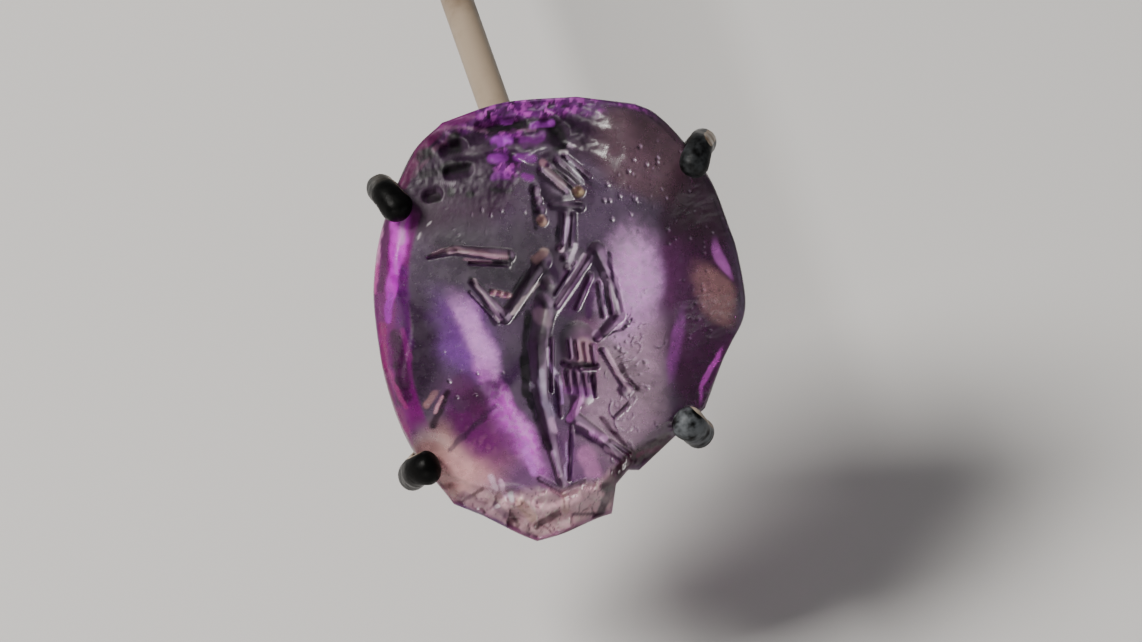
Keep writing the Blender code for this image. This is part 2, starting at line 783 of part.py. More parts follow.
def claw_points(direction, lean, reach):
    """Middle line of one claw, from behind the gem's centre round its edge to the tip."""
    angle = math.radians(direction)
    out = np.array([math.cos(angle), math.sin(angle)])
    edge = float(edge_radius(angle))
    clear = SETTING_GAP + WIRE_RADIUS
    turn = math.radians(direction + 180.0 + lean)
    inward = np.array([math.cos(turn), math.sin(turn)])
    elbow = out * (edge + clear * ELBOW_OUT)
    tip = elbow + inward * (clear + reach)
    resting = max(float(front_height(*[np.array([v]) for v in tip + inward * step])[0])
                  for step in TIP_STEPS)
    tip_height = resting + SETTING_GAP + TIP_RADIUS + TIP_LIFT
    bend_height = tip_height - BEND_DROP
    line = [(*(out * (edge * along + clear * beyond)), wire_level() * depth)
            for along, beyond, depth in CLAW_SIDE]
    line.append((*elbow, bend_height * ELBOW_RISE))
    line.append((*(elbow + inward * BEND_INSET), bend_height * BEND_RISE))
    line.append((*tip, tip_height))
    return line


def union(target, other):
    """Joins another object into the target and hides it."""
    joined = target.modifiers.new(other.name, "BOOLEAN")
    joined.operation = "UNION"
    joined.solver = "EXACT"
    joined.object = other
    hide(other)


def subtract(target, cutter):
    """Cuts another object out of the target and hides it."""
    cut = target.modifiers.new(cutter.name, "BOOLEAN")
    cut.operation = "DIFFERENCE"
    cut.solver = "EXACT"
    cut.object = cutter
    hide(cutter)


def hide(helper):
    """Keeps a helper out of the model."""
    helper.hide_render = True
    helper.display_type = "WIRE"


def hub_centre():
    """Middle of the hub in the world, in millimetres."""
    return (tilt_matrix() @ (hub_place() * MM)) / MM


def build_cradle():
    """Two crossing wires bent into four claws, with a hub and a socket for the rod."""
    look = material("blackened_metal", BLACKENED, 0.5, metallic=0.6)
    to_world = tilt_matrix()
    pairs = (("upper_left", "lower_right"), ("upper_right", "lower_left"))
    wires = []
    for first, second in pairs:
        line = smooth_line(claw_points(*CLAWS[first])[::-1] + claw_points(*CLAWS[second]), 3)
        points, faces = rounded_tube(line, WIRE_RADIUS, WIRE_SIDES, True, True, True)
        wires.append(add_object(first + "_wire", mesh_from(first, points, faces, to_world), look))
    cradle = wires[0]
    cradle.name = "claw_cradle"
    union(cradle, wires[1])
    low = wire_level() - HUB_THICKNESS
    disc = [(ROD_SIDE_STEP, 0, low), (ROD_SIDE_STEP, 0, wire_level() + HUB_OVERLAP)]
    points, faces = rounded_tube(disc, HUB_RADIUS, HUB_SIDES, False, False)
    union(cradle, add_object("hub", mesh_from("hub", points, faces, to_world), look))
    start = hub_centre()
    end = start + rod_direction() * SOCKET_LENGTH
    outer = ROD_RADIUS + FIT_GAP + SOCKET_WALL
    points, faces = rounded_tube([start, end], outer, SOCKET_SIDES, False, False)
    union(cradle, add_object("socket", mesh_from("socket", points, faces, Matrix()), look))
    mouth = end + rod_direction() * BORE_OVERRUN
    floor = end - rod_direction() * SOCKET_DEPTH
    bore = ROD_RADIUS + FIT_GAP
    points, faces = rounded_tube([floor, mouth], bore, SOCKET_SIDES, False, False)
    subtract(cradle, add_object("socket_bore", mesh_from("bore", points, faces, Matrix()), look))
    return cradle


def rod_line():
    """Middle line of the rod, from inside the cradle's socket to inside the foot."""
    forward = rod_direction()
    start = hub_centre() + forward * (SOCKET_LENGTH - SOCKET_DEPTH + FIT_GAP)
    level = start.z
    corner = Vector((0.0, 0.0, level)) - forward * ROD_BEND_RADIUS
    line = [start + (corner - start) * k / 5 for k in range(5)]
    for k in range(9):
        angle = math.radians(90.0 * k / 8)
        reach = forward * ROD_BEND_RADIUS * math.sin(angle)
        drop = Vector((0, 0, ROD_BEND_RADIUS * (1 - math.cos(angle))))
        line.append(corner + reach - drop)
    top = FOOT_THICKNESS + FOOT_COLLAR_HEIGHT
    bottom = top - FOOT_SOCKET_DEPTH + FIT_GAP
    straight = level - ROD_BEND_RADIUS
    line += [Vector((0.0, 0.0, straight + (bottom - straight) * k / 2)) for k in (1, 2)]
    return line


def build_rod():
    """The bent rod, round in section."""
    points, faces = rounded_tube(rod_line(), ROD_RADIUS, ROD_SIDES, False, False)
    look = material("cream_painted_rod", CREAM_PAINT, 0.45)
    return add_object("stand_rod", mesh_from("stand_rod", points, faces, Matrix()), look)


def foot_profile():
    """Outer profile of the foot from the collar's top down to the underside, radius and height."""
    top = FOOT_THICKNESS + FOOT_COLLAR_HEIGHT
    profile = [
        (FOOT_COLLAR_RADIUS - COLLAR_CHAMFER, top),
        (FOOT_COLLAR_RADIUS, top - COLLAR_CHAMFER),
        (FOOT_COLLAR_RADIUS, FOOT_THICKNESS + COLLAR_CHAMFER),
        (FOOT_COLLAR_RADIUS + COLLAR_CHAMFER, FOOT_THICKNESS),
    ]
    for k in range(6):
        angle = math.radians(90.0 * k / 5)
        radius = FOOT_RADIUS - FOOT_EDGE + FOOT_EDGE * math.sin(angle)
        profile.append((radius, FOOT_THICKNESS - FOOT_EDGE * (1 - math.cos(angle))))
    profile.append((FOOT_RADIUS, FOOT_CHAMFER))
    profile.append((FOOT_RADIUS - FOOT_CHAMFER, 0.0))
    return profile


def build_foot():
    """The weighted round foot with a collar and a socket for the rod."""
    profile = foot_profile()
    bore = ROD_RADIUS + FIT_GAP
    top = profile[0][1]
    floor = top - FOOT_SOCKET_DEPTH
    rings = [(bore, floor), (bore, top)] + profile
    points, faces = [], []
    for radius, height in rings:
        for s in range(FOOT_SIDES):
            angle = math.tau * s / FOOT_SIDES
            points.append((radius * math.cos(angle), radius * math.sin(angle), height))
    for k in range(len(rings) - 1):
        for s in range(FOOT_SIDES):
            t = (s + 1) % FOOT_SIDES
            near, far = k * FOOT_SIDES, (k + 1) * FOOT_SIDES
            faces.append((near + s, near + t, far + t, far + s))
    faces.append(tuple(range(FOOT_SIDES)))
    faces.append(tuple(range(len(points) - FOOT_SIDES, len(points)))[::-1])
    look = material("cream_painted_foot", CREAM_PAINT, 0.5)
    return add_object("stand_foot", mesh_from("stand_foot", points, faces, Matrix()), look)


def main():
    for old in list(bpy.data.objects):
        bpy.data.objects.remove(old, do_unlink=True)
    build_gem()
    build_cradle()
    build_rod()
    build_foot()


main()
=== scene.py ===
"""The looks of a chipped amethyst intaglio in its claw mount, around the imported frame.

The gem is modelled in millimetres in its own frame, x to its right, y to its top and z out of
its engraved face, and placed on the stand as the solids are.
"""
import math

import bmesh
import bpy
import numpy as np
from mathutils import Matrix, Vector


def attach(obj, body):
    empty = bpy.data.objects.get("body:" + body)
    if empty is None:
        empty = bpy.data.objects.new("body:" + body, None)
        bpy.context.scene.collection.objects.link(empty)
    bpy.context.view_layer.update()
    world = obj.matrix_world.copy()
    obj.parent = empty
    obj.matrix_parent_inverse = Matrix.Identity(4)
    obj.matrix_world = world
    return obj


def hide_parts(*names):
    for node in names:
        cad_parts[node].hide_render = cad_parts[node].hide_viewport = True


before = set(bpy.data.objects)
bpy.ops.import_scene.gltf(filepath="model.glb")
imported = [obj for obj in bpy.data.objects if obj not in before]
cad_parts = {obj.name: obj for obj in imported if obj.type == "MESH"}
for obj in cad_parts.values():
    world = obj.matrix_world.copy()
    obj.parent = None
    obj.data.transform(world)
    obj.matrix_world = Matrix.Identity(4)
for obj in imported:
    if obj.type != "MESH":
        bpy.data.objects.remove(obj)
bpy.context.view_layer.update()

# Metres in a millimetre
MM = 0.001

# Sizes in millimetres and degrees, as the solids have them. The cuts alone are narrower and
# keener here, and the claws rest on the gem, where the solids keep a gap.
GEM_WIDTH = 16.7
GEM_HEIGHT = 20.0
FIELD_RISE = 3.1
BACK_DEPTH = 3.5
EDGE_HALF = 0.3
FIELD_RADIUS = 55.0
ENGRAVING_DEPTH = 0.58
OVERLAP_DEPTH = 0.3
CUT_ROUNDNESS = 1.5
CUT_SPREAD = 0.9
CUT_KEENNESS = 0.35
WIRE_RADIUS = 0.62
TIP_RADIUS = 0.7
TIP_FLARE = 1.3
SOLID_GAP = 0.27
SEAT_GAP = 0.04
HUB_RADIUS = 2.1
HUB_THICKNESS = 1.5
SOCKET_LENGTH = 3.6
SOCKET_WALL = 0.5
ROD_RADIUS = 0.75
ROD_BEND_RADIUS = 5.5
ROD_SIDE_STEP = 0.45
ROD_SWING = 14.0
FOOT_RADIUS = 14.0
FOOT_THICKNESS = 6.6
FOOT_EDGE = 1.2
FOOT_CHAMFER = 0.4
FOOT_COLLAR_RADIUS = 2.4
FOOT_COLLAR_HEIGHT = 1.4
COLLAR_CHAMFER = 0.3
FACE_TILT = 45.0
GEM_CENTRE_HEIGHT = 18.0
FOOT_DISTANCE = 58.0

# Density of the meshes
FRONT_CELLS = 264
BACK_ROWS = 22
WIRE_SIDES = 28
ROD_SIDES = 32
FOOT_SIDES = 160

# The photograph's frame, in its own pixels, and the size of one of them at the gem
PHOTO_WIDTH = 1142
PHOTO_HEIGHT = 642
GEM_PIXEL = (559.5, 319.0)
PIXEL_MM = 0.045
CAMERA_DISTANCE = 450.0
SENSOR_WIDTH = 36.0

# The broken outline, anticlockwise from the right, as shares of half the width and half the
# height. True marks the corner of a break, where the line isn't smooth.
OUTLINE = (
    (1.00, 0.113, False), (0.957, 0.306, False), (0.914, 0.414, False), (0.817, 0.622, False),
    (0.667, 0.800, False), (0.520, 0.923, False), (0.407, 0.968, True), (0.272, 0.982, False),
    (0.089, 1.000, True), (-0.305, 0.973, False), (-0.633, 0.883, True), (-0.801, 0.734, False),
    (-0.951, 0.423, False), (-1.00, 0.180, False), (-0.989, -0.027, False),
    (-0.930, -0.302, False), (-0.801, -0.577, False), (-0.569, -0.833, True),
    (-0.418, -0.883, True), (-0.224, -0.964, False), (-0.121, -1.000, True),
    (0.024, -0.964, False), (0.191, -0.901, False), (0.283, -0.874, True),
    (0.305, -0.743, True), (0.369, -0.680, True), (0.429, -0.680, True),
    (0.617, -0.532, False), (0.784, -0.401, True), (0.876, -0.194, False),
    (0.925, -0.108, False), (0.989, 0.000, False),
)

# Ground and broken planes of the front: direction in degrees, distance of the plane's inner
# edge from the centre as a share of half the height, and slope.
PLANES = {
    "left_bevel": (184.0, 0.695, 1.30),
    "right_bevel": (3.3, 0.480, 0.66),
    "top_right_bevel": (57.0, 0.800, 0.75),
    "top_break": (102.0, 0.630, 0.42),
    "lower_left_chip": (227.0, 0.745, 0.62),
    "bottom_break": (264.0, 0.770, 0.75),
    "lower_right_break": (309.0, 0.690, 1.60),
}
PLANE_SOFTNESS = 0.35
PLANE_WAVER = 0.22
PLANE_WAVES = 1.3
PLANE_DROP = 0.35

# Width of the rounded shoulder along the outline: direction in degrees, width in millimetres
SHOULDER = ((0, 1.3), (60, 1.2), (90, 0.8), (120, 0.9), (180, 0.7), (225, 0.9), (262, 0.5),
            (305, 0.3), (335, 0.9), (360, 1.3))
SHOULDER_RISE = 3.4
BACK_SQUARENESS = 2.4
BACK_FULLNESS = 0.62

# Broken steps: how the line where they start leans and wavers, how soon they reach their full
# depth, steps per millimetre, how they slant and waver. A waver is its size, its waves per
# millimetre and its offset, with the waves in radians.
LEDGE_DEPTH = 0.08
TOP_LEDGES = {"lean": 0.22, "start": (0.25, 1.9, 0.7), "run_in": 0.5, "depth": 0.34,
              "steps": 4.6, "slant": 0.0, "wavers": ((1.4, 1.3, 0.0), (0.7, 3.1, 0.0))}
TOP_LEDGES_FADE = (0.6, 3.0)
BOTTOM_LEDGES = {"lean": -0.1, "start": (-0.2, 2.3, 0.0), "run_in": 0.4, "depth": 0.22,
                 "steps": 6.5, "slant": 1.1, "wavers": ()}
BREAK_RUN_IN = 0.5
CUT_RUN_IN = 0.6

# Claws: direction from the centre, how far the tip leans from pointing at the centre, and how
# far it reaches over the gem
CLAWS = {
    "upper_left": (143.9, -12.0, 1.05),
    "upper_right": (51.0, 17.0, 0.95),
    "lower_left": (226.7, -22.0, 0.65),
    "lower_right": (320.8, 0.0, 0.65),
}

# Side view of a claw up to the gem's edge: shares of the edge's distance, of the clearance and
# of the wires' level. The rest shapes the bend over the edge and the tip.
CLAW_SIDE = ((0.45, 0.0, 1.0), (0.72, 0.0, 0.9), (0.93, 0.4, 0.56), (1.0, 0.96, 0.12))
ELBOW_OUT = 0.92
SEATED_ELBOW_OUT = 0.7
ELBOW_RISE = 0.55
BEND_INSET = 0.32
BEND_RISE = 0.92
BEND_DROP = 0.1
TIP_STEPS = (0.0, -0.5, 0.1)

# Looks of the claws' faces: the side where the paint shows beside the black, in degrees, how far
# it turns before it shows, how worn the black is and how much wider than the wire the face is
CLAW_LOOKS = {
    "upper_left": (55, 0.97, 0.0, 1.05),
    "upper_right": (40, 0.86, 0.2, 1.0),
    "lower_left": (120, 0.95, 0.0, 1.12),
    "lower_right": (50, 0.8, 0.7, 1.12),
}


def hermite(p0, p1, m0, m1, t):
    """Point at t on the cubic from p0 to p1 with tangents m0 and m1."""
    return ((2 * t ** 3 - 3 * t ** 2 + 1) * p0 + (t ** 3 - 2 * t ** 2 + t) * m0
            + (3 * t ** 2 - 2 * t ** 3) * p1 + (t ** 3 - t ** 2) * m1)


def outline_curve(steps=8):
    """The outline as a dense closed line, in millimetres."""
    half = np.array([GEM_WIDTH / 2, GEM_HEIGHT / 2])
    points = [np.array(p[:2]) * half for p in OUTLINE]
    count = len(points)
    curve = []
    for i in range(count):
        a, b = points[i], points[(i + 1) % count]
        chord = b - a
        start = chord if OUTLINE[i][2] else (b - points[i - 1]) / 2
        end = chord if OUTLINE[(i + 1) % count][2] else (points[(i + 2) % count] - a) / 2
        curve += [hermite(a, b, start, end, k / steps) for k in range(steps)]
    return np.array(curve)


def outline_table():
    """Direction and radius of the outline, in order of direction."""
    curve = outline_curve()
    angle = np.arctan2(curve[:, 1], curve[:, 0]) % math.tau
    radius = np.hypot(curve[:, 0], curve[:, 1])
    order = np.argsort(angle)
    return angle[order], radius[order]


EDGE_ANGLES, EDGE_RADII = outline_table()


def edge_radius(angle):
    """Distance from the centre to the outline in this direction."""
    return np.interp(np.asarray(angle) % math.tau, EDGE_ANGLES, EDGE_RADII, period=math.tau)


def rim_distance(x, y):
    """Distance of each point inward from the outline."""
    return edge_radius(np.arctan2(y, x)) - np.hypot(x, y)


def bearing(x, y):
    """Direction of each point from the centre, from 0 to 360 degrees."""
    return np.degrees(np.arctan2(y, x)) % 360


def soft_min(a, b, width):
    """The lower of two heights, with the crease rounded over this width."""
    return np.minimum(a, b) - np.maximum(width - np.abs(a - b), 0.0) ** 2 / (4 * width)


def wave(place, waver):
    """A wave along a line, from its size, its waves per millimetre and its offset."""
    size, waves, offset = waver
    return size * np.sin(waves * place + offset)


def ledges(x, depth, look):
    """Broken steps at each point, from x and the distance into the break."""
    depth = depth + look["lean"] * x - wave(x, look["start"])
    turn = look["steps"] * depth + look["slant"] * x
    turn = turn + sum(wave(x, waver) for waver in look["wavers"])
    step = 0.5 + 0.5 * np.sin(turn)
    return np.clip(depth / look["run_in"], 0, 1) * (LEDGE_DEPTH + look["depth"] * step)


def top_ledges(x, y):
    """Steps broken down into the top of the gem, deepest near the crest."""
    start = PLANES["top_break"][1] * GEM_HEIGHT / 2
    inner, outer = TOP_LEDGES_FADE
    return ledges(x, y - start, TOP_LEDGES) * np.clip((outer - x) / (outer - inner), 0, 1)


def bottom_ledges(x, y):
    """Shell-shaped steps of the break at the foot of the gem."""
    start = PLANES["bottom_break"][1] * GEM_HEIGHT / 2
    return ledges(x, -y - start, BOTTOM_LEDGES)


def field_height(x, y):
    """Height of the front over the mid plane, before the figure is cut."""
    radius = np.hypot(x, y)
    angle = np.arctan2(y, x)
    height = FIELD_RISE - radius ** 2 / (2 * FIELD_RADIUS)
    for direction, share, slope in PLANES.values():
        turn = math.radians(direction)
        along = x * math.cos(turn) + y * math.sin(turn)
        across = y * math.cos(turn) - x * math.sin(turn)
        along = along + wave(across, (PLANE_WAVER, PLANE_WAVES, direction))
        plane = FIELD_RISE - PLANE_DROP - slope * (along - share * GEM_HEIGHT / 2)
        height = soft_min(height, plane, PLANE_SOFTNESS)
    inward = np.maximum(edge_radius(angle) - radius, 0.0)
    directions, widths = zip(*SHOULDER)
    width = np.interp(np.degrees(angle) % 360, directions, widths)
    bend = np.clip(inward / width, 0, 1)
    shoulder = EDGE_HALF + SHOULDER_RISE * np.sqrt(1 - (1 - bend) ** 2)
    height = np.where(inward < width, soft_min(height, shoulder, PLANE_SOFTNESS), height)
    broken = top_ledges(x, y) + bottom_ledges(x, y)
    return np.maximum(height - broken * np.clip(inward / BREAK_RUN_IN, 0, 1), EDGE_HALF)


def back_height(x, y):
    """Height of the shallow domed back, which is negative."""
    share = np.hypot(x, y) / edge_radius(np.arctan2(y, x))
    dome = np.clip(1 - np.minimum(share, 1) ** BACK_SQUARENESS, 0, 1) ** BACK_FULLNESS
    return -EDGE_HALF - (BACK_DEPTH - EDGE_HALF) * dome


# The standing figure. Places are millimetres from the gem's centre.
JOINTS = {
    "head": (0.05, 6.3),
    "neck": (0.36, 4.8),
    "throat": (0.36, 3.3),
    "left_shoulder": (-0.77, 2.6),
    "left_elbow": (-2.45, 0.05),
    "left_hand": (-3.9, 1.65),
    "right_shoulder": (1.65, 3.05),
    "right_arm": (2.3, 1.7),
    "right_elbow": (2.65, 0.15),
    "right_wrist": (1.7, -0.85),
    "chest": (0.36, 2.5),
    "waist": (-0.65, 0.45),
    "left_hip": (-0.95, -1.1),
    "left_knee": (-0.85, -3.4),
    "left_shin": (-0.4, -5.4),
    "left_ankle": (0.0, -6.95),
    "left_toe": (0.15, -7.35),
    "right_hip": (0.8, -0.9),
    "hem": (1.0, -3.3),
    "right_knee": (0.62, -4.45),
    "right_shin": (1.8, -5.3),
    "right_foot": (2.8, -6.3),
    "spear_foot": (2.95, -3.15),
}


def groove(start, end, start_width, end_width, depth):
    """A tapered round-bottomed cut from start to end, with half widths and full depth."""
    return (start, end, start_width, end_width, depth)


def bead(place, radius, depth):
    """A drilled dot."""
    return groove(place, place, radius, radius, depth)


def chain(names, widths, depth):
    """Cuts that follow the named joints, with a half width at each."""
    joints = [JOINTS[name] for name in names]
    return [groove(*pair, *wide, depth)
            for pair, wide in zip(zip(joints, joints[1:]), zip(widths, widths[1:]))]


def row(first, last, count, shape):
    """Copies of a cut, given as offsets from each place, spread evenly between two places."""
    (dx, dy), start_width, end_width, depth = shape
    cuts = []
    for share in np.linspace(0, 1, count):
        x = first[0] + (last[0] - first[0]) * share
        y = first[1] + (last[1] - first[1]) * share
        cuts.append(groove((x, y), (x + dx, y + dy), start_width, end_width, depth))
    return cuts


def head_cuts():
    """Bare oval of the head, hair combed across it, its roll and the lock that hangs behind."""
    return [
        groove((-0.1, 6.7), JOINTS["head"], 1.15, 1.1, 0.62),
        groove((-0.35, 5.75), (0.1, 5.5), 0.75, 0.7, 0.5),
        groove((-0.3, 5.1), (0.95, 5.0), 0.3, 0.26, 0.5),
        *row((-0.85, 6.65), (0.2, 7.3), 4, ((1.1, -0.95), 0.2, 0.16, 0.92)),
        bead((0.85, 5.72), 0.36, 0.95),
        *row((-1.1, 5.75), (-0.77, 4.4), 4, ((0.0, 0.0), 0.32, 0.32, 0.7)),
    ]


def neck_cuts():
    """Neck with its two cords."""
    return [
        *chain(("neck", "throat"), (0.5, 0.55), 0.5),
        *row((0.22, 4.7), (0.6, 4.7), 2, ((-0.1, -1.4), 0.14, 0.14, 0.78)),
    ]


def left_arm_cuts():
    """Arm on the left of the picture, bent up towards the object that it holds out."""
    return [
        bead(JOINTS["left_shoulder"], 0.6, 0.95),
        *chain(("left_shoulder", "left_elbow", "left_hand"), (0.4, 0.34, 0.2), 0.8),
        groove((-4.0, 1.2), (-2.75, -0.15), 0.12, 0.12, 0.4),
        groove((-2.25, 2.83), (-4.72, 3.08), 0.33, 0.27, 0.85),
        groove((-4.72, 3.08), (-5.85, 2.75), 0.27, 0.12, 0.55),
        groove((-2.3, 2.45), (-4.0, 2.5), 0.17, 0.12, 0.6),
        *row((-3.0, 1.2), (-2.35, 1.08), 3, ((0.0, 0.0), 0.2, 0.2, 0.5)),
    ]


def torso_cuts():
    """Chest, belly and the cloak's long folds across them."""
    return [
        *chain(("chest", "waist"), (1.2, 0.75), 0.5),
        bead((-0.5, 1.55), 0.5, 0.72),
        bead((-0.65, 0.75), 0.6, 1.0),
        groove((1.3, 2.75), (-0.14, 0.6), 0.26, 0.2, 0.95),
        groove((0.7, 2.5), (-0.2, 1.1), 0.18, 0.14, 0.8),
        groove((1.35, 1.9), (0.75, 0.5), 0.22, 0.18, 0.6),
        *row((0.02, 3.2), (0.4, 2.3), 3, ((0.0, 0.0), 0.28, 0.28, 0.85)),
    ]


def right_arm_cuts():
    """Arm on the right of the picture, hanging to a bent elbow, with folds inside it."""
    return [
        bead(JOINTS["right_shoulder"], 0.52, 0.7),
        *chain(("right_shoulder", "right_arm", "right_elbow"), (0.42, 0.4, 0.36), 0.7),
        *chain(("right_elbow", "right_wrist"), (0.34, 0.24), 0.85),
        *row((1.75, 1.6), (2.15, 1.7), 2, ((0.2, -1.45), 0.17, 0.17, 0.9)),
    ]


def leg_cuts():
    """Left leg that carries the weight, right leg set back, both feet and the ground line."""
    return [
        *chain(("waist", "left_hip"), (0.62, 0.58), 0.75),
        *chain(("left_hip", "left_knee"), (0.56, 0.42), 0.95),
        *chain(("left_knee", "left_shin"), (0.42, 0.4), 0.88),
        *chain(("left_shin", "left_ankle"), (0.38, 0.24), 0.8),
        *chain(("left_ankle", "left_toe"), (0.26, 0.34), 0.6),
        groove((-0.35, -0.9), (-0.35, -3.2), 0.15, 0.13, 1.0),
        groove((-0.1, -2.6), (0.05, -4.3), 0.18, 0.14, 0.8),
        groove((0.55, -4.8), (0.45, -7.2), 0.14, 0.12, 0.55),
        *chain(("right_knee", "right_shin"), (0.42, 0.36), 0.85),
        *chain(("right_shin", "right_foot"), (0.34, 0.22), 0.72),
        groove((2.3, -5.5), (3.15, -6.05), 0.16, 0.12, 0.5),
        groove((-0.9, -7.15), (0.1, -7.7), 0.14, 0.16, 0.35),
        groove((0.1, -7.7), (1.1, -7.3), 0.16, 0.14, 0.35),
    ]


def skirt_cuts():
    """Short tunic between the legs: body, two tiers of upright folds and hem."""
    return [
        *chain(("right_hip", "hem"), (1.0, 0.75), 0.5),
        *row((0.4, -0.95), (1.45, -1.2), 4, ((0.1, -0.75), 0.17, 0.13, 0.82)),
        groove((0.2, -1.95), (0.95, -2.2), 0.2, 0.2, 0.85),
        groove((0.95, -2.2), (1.7, -2.1), 0.2, 0.17, 0.8),
        *row((0.35, -2.4), (1.5, -2.6), 4, ((0.12, -0.85), 0.19, 0.12, 0.8)),
        groove((0.8, -3.55), (0.55, -4.35), 0.32, 0.22, 0.9),
    ]


def spear_cuts():
    """Thin shaft that leans out beside the tunic, with a round knob and its curl."""
    return [
        groove((1.9, -1.4), JOINTS["spear_foot"], 0.18, 0.16, 0.75),
        bead(JOINTS["spear_foot"], 0.4, 0.75),
        groove((3.1, -3.8), (2.5, -4.4), 0.14, 0.12, 0.4),
    ]


# Hollows left where splinters came away near the top: two ends as shares of half the width and
# half the height, the half width in millimetres and the depth as a share of the engraving's.
HOLLOWS = (
    ((-0.60, 0.755), (-0.54, 0.775), 0.42, 0.9),
    ((-0.585, 0.655), (-0.50, 0.67), 0.36, 0.8),
    ((-0.70, 0.55), (-0.66, 0.56), 0.34, 0.7),
    ((-0.42, 0.86), (-0.22, 0.88), 0.36, 0.9),
    ((-0.06, 0.89), (0.01, 0.84), 0.42, 0.9),
)


def all_cuts():
    """Every cut in the front as start, end, half widths and depth in millimetres."""
    figure = head_cuts() + neck_cuts() + left_arm_cuts() + torso_cuts() + right_arm_cuts()
    figure += leg_cuts() + skirt_cuts() + spear_cuts()
    placed = [(np.array(a), np.array(b), wa * CUT_SPREAD, wb * CUT_SPREAD, depth)
              for a, b, wa, wb, depth in figure]
    half = np.array([GEM_WIDTH / 2, GEM_HEIGHT / 2])
    for start, end, width, depth in HOLLOWS:
        placed.append((np.array(start) * half, np.array(end) * half, width, width, depth))
    return [(a, b, wa, wb, depth * ENGRAVING_DEPTH) for a, b, wa, wb, depth in placed]


CUTS = all_cuts()


def across_cut(cut, x, y):
    """Distance of each point from a cut's middle line, and the cut's half width there."""
    start, end, start_width, end_width, _ = cut
    run = end - start
    share = (x - start[0]) * run[0] + (y - start[1]) * run[1]
    share = np.clip(share / max(float(run @ run), 1e-9), 0, 1)
    off = np.hypot(x - start[0] - share * run[0], y - start[1] - share * run[1])
    return off, start_width + (end_width - start_width) * share


def cut_depth(x, y):
    """How deep the engraving goes below the field at each point."""
    deepest = np.zeros_like(x)
    for cut in CUTS:
        off, width = across_cut(cut, x, y)
        depth = np.clip(1 - (off / width) ** 2, 0, 1) ** CUT_ROUNDNESS
        if np.hypot(*(cut[1] - cut[0])) > 0:
            depth = depth + CUT_KEENNESS * (np.clip(1 - off / width, 0, 1) ** 1.1 - depth)
        depth = depth * cut[4]
        deepest = np.maximum(deepest, depth) + OVERLAP_DEPTH * np.minimum(deepest, depth)
    return deepest


def front_height(x, y):
    """Height of the finished front."""
    cut = cut_depth(x, y) * np.clip(rim_distance(x, y) / CUT_RUN_IN, 0, 1)
    return np.maximum(field_height(x, y) - cut, EDGE_HALF)


# Placing the gem on its stand

def rod_direction():
    """Level direction in which the rod leaves the cradle for the foot."""
    swing = math.radians(ROD_SWING)
    return Vector((-math.sin(swing), math.cos(swing), 0.0))


def wire_level(gap):
    """Height of the wires' middle behind the gem."""
    return -(BACK_DEPTH + gap + WIRE_RADIUS)


def hub_place():
    """Middle of the hub in the gem's own frame, where the solid has it."""
    return Vector((ROD_SIDE_STEP, 0.0, wire_level(SOLID_GAP) - HUB_THICKNESS / 2))


# Turn from the gem's own frame to its lean on the stand
FACE_TURN = Matrix.Rotation(math.radians(90.0 - FACE_TILT), 4, "X")


def gem_matrix():
    """Carries the gem's own millimetres to the world's metres."""
    place = -rod_direction() * FOOT_DISTANCE - FACE_TURN @ hub_place()
    place.z = GEM_CENTRE_HEIGHT
    return Matrix.Translation(place * MM) @ FACE_TURN @ Matrix.Scale(MM, 4)


GEM_TO_WORLD = gem_matrix()


# Noise

def lattice_noise(x, y, size, seed):
    """Smooth noise from 0 to 1 with features of this size in millimetres."""
    table = np.random.RandomState(seed).rand(64, 64)
    gx, gy = x / size, y / size
    ix, iy = np.floor(gx).astype(int), np.floor(gy).astype(int)
    fx, fy = gx - ix, gy - iy
    fx, fy = fx * fx * (3 - 2 * fx), fy * fy * (3 - 2 * fy)
    a = table[ix % 64, iy % 64]
    b = table[(ix + 1) % 64, iy % 64]
    c = table[ix % 64, (iy + 1) % 64]
    d = table[(ix + 1) % 64, (iy + 1) % 64]
    return (a + (b - a) * fx) * (1 - fy) + (c + (d - c) * fx) * fy


def layered_noise(x, y, size, seed, layers=3):
    """Noise with finer and fainter layers, from 0 to 1."""
    total, weight, strength = 0.0, 0.0, 1.0
    for layer in range(layers):
        total = total + strength * lattice_noise(x, y, size / 2 ** layer, seed + layer)
        weight += strength
        strength *= 0.55
    return total / weight


def ridge_noise(x, y, size, seed):
    """Noise with sharp crests, from 0 to 1."""
    return 1 - np.abs(2 * layered_noise(x, y, size, seed) - 1)


def facet_noise(x, y, size, seed):
    """Flat facets of this size, each tilted its own way, with steps between them."""
    random = np.random.RandomState(seed)
    shift_x, shift_y, level = random.rand(3, 64, 64)
    tilt_x, tilt_y = random.rand(2, 64, 64) - 0.5
    gx, gy = x / size, y / size
    ix, iy = np.floor(gx).astype(int), np.floor(gy).astype(int)
    nearest = np.full_like(x, np.inf)
    height = np.zeros_like(x)
    for i in (-1, 0, 1):
        for j in (-1, 0, 1):
            cell = (ix + i) % 64, (iy + j) % 64
            dx, dy = gx - ix - i - shift_x[cell], gy - iy - j - shift_y[cell]
            off = np.hypot(dx, dy)
            facet = level[cell] + 1.4 * (tilt_x[cell] * dx + tilt_y[cell] * dy)
            height = np.where(off < nearest, facet, height)
            nearest = np.minimum(off, nearest)
    return height


def step_up(value, low, high):
    """Goes smoothly from 0 at low to 1 at high."""
    share = np.clip((value - low) / (high - low), 0, 1)
    return share * share * (3 - 2 * share)


# The gem's fine surface

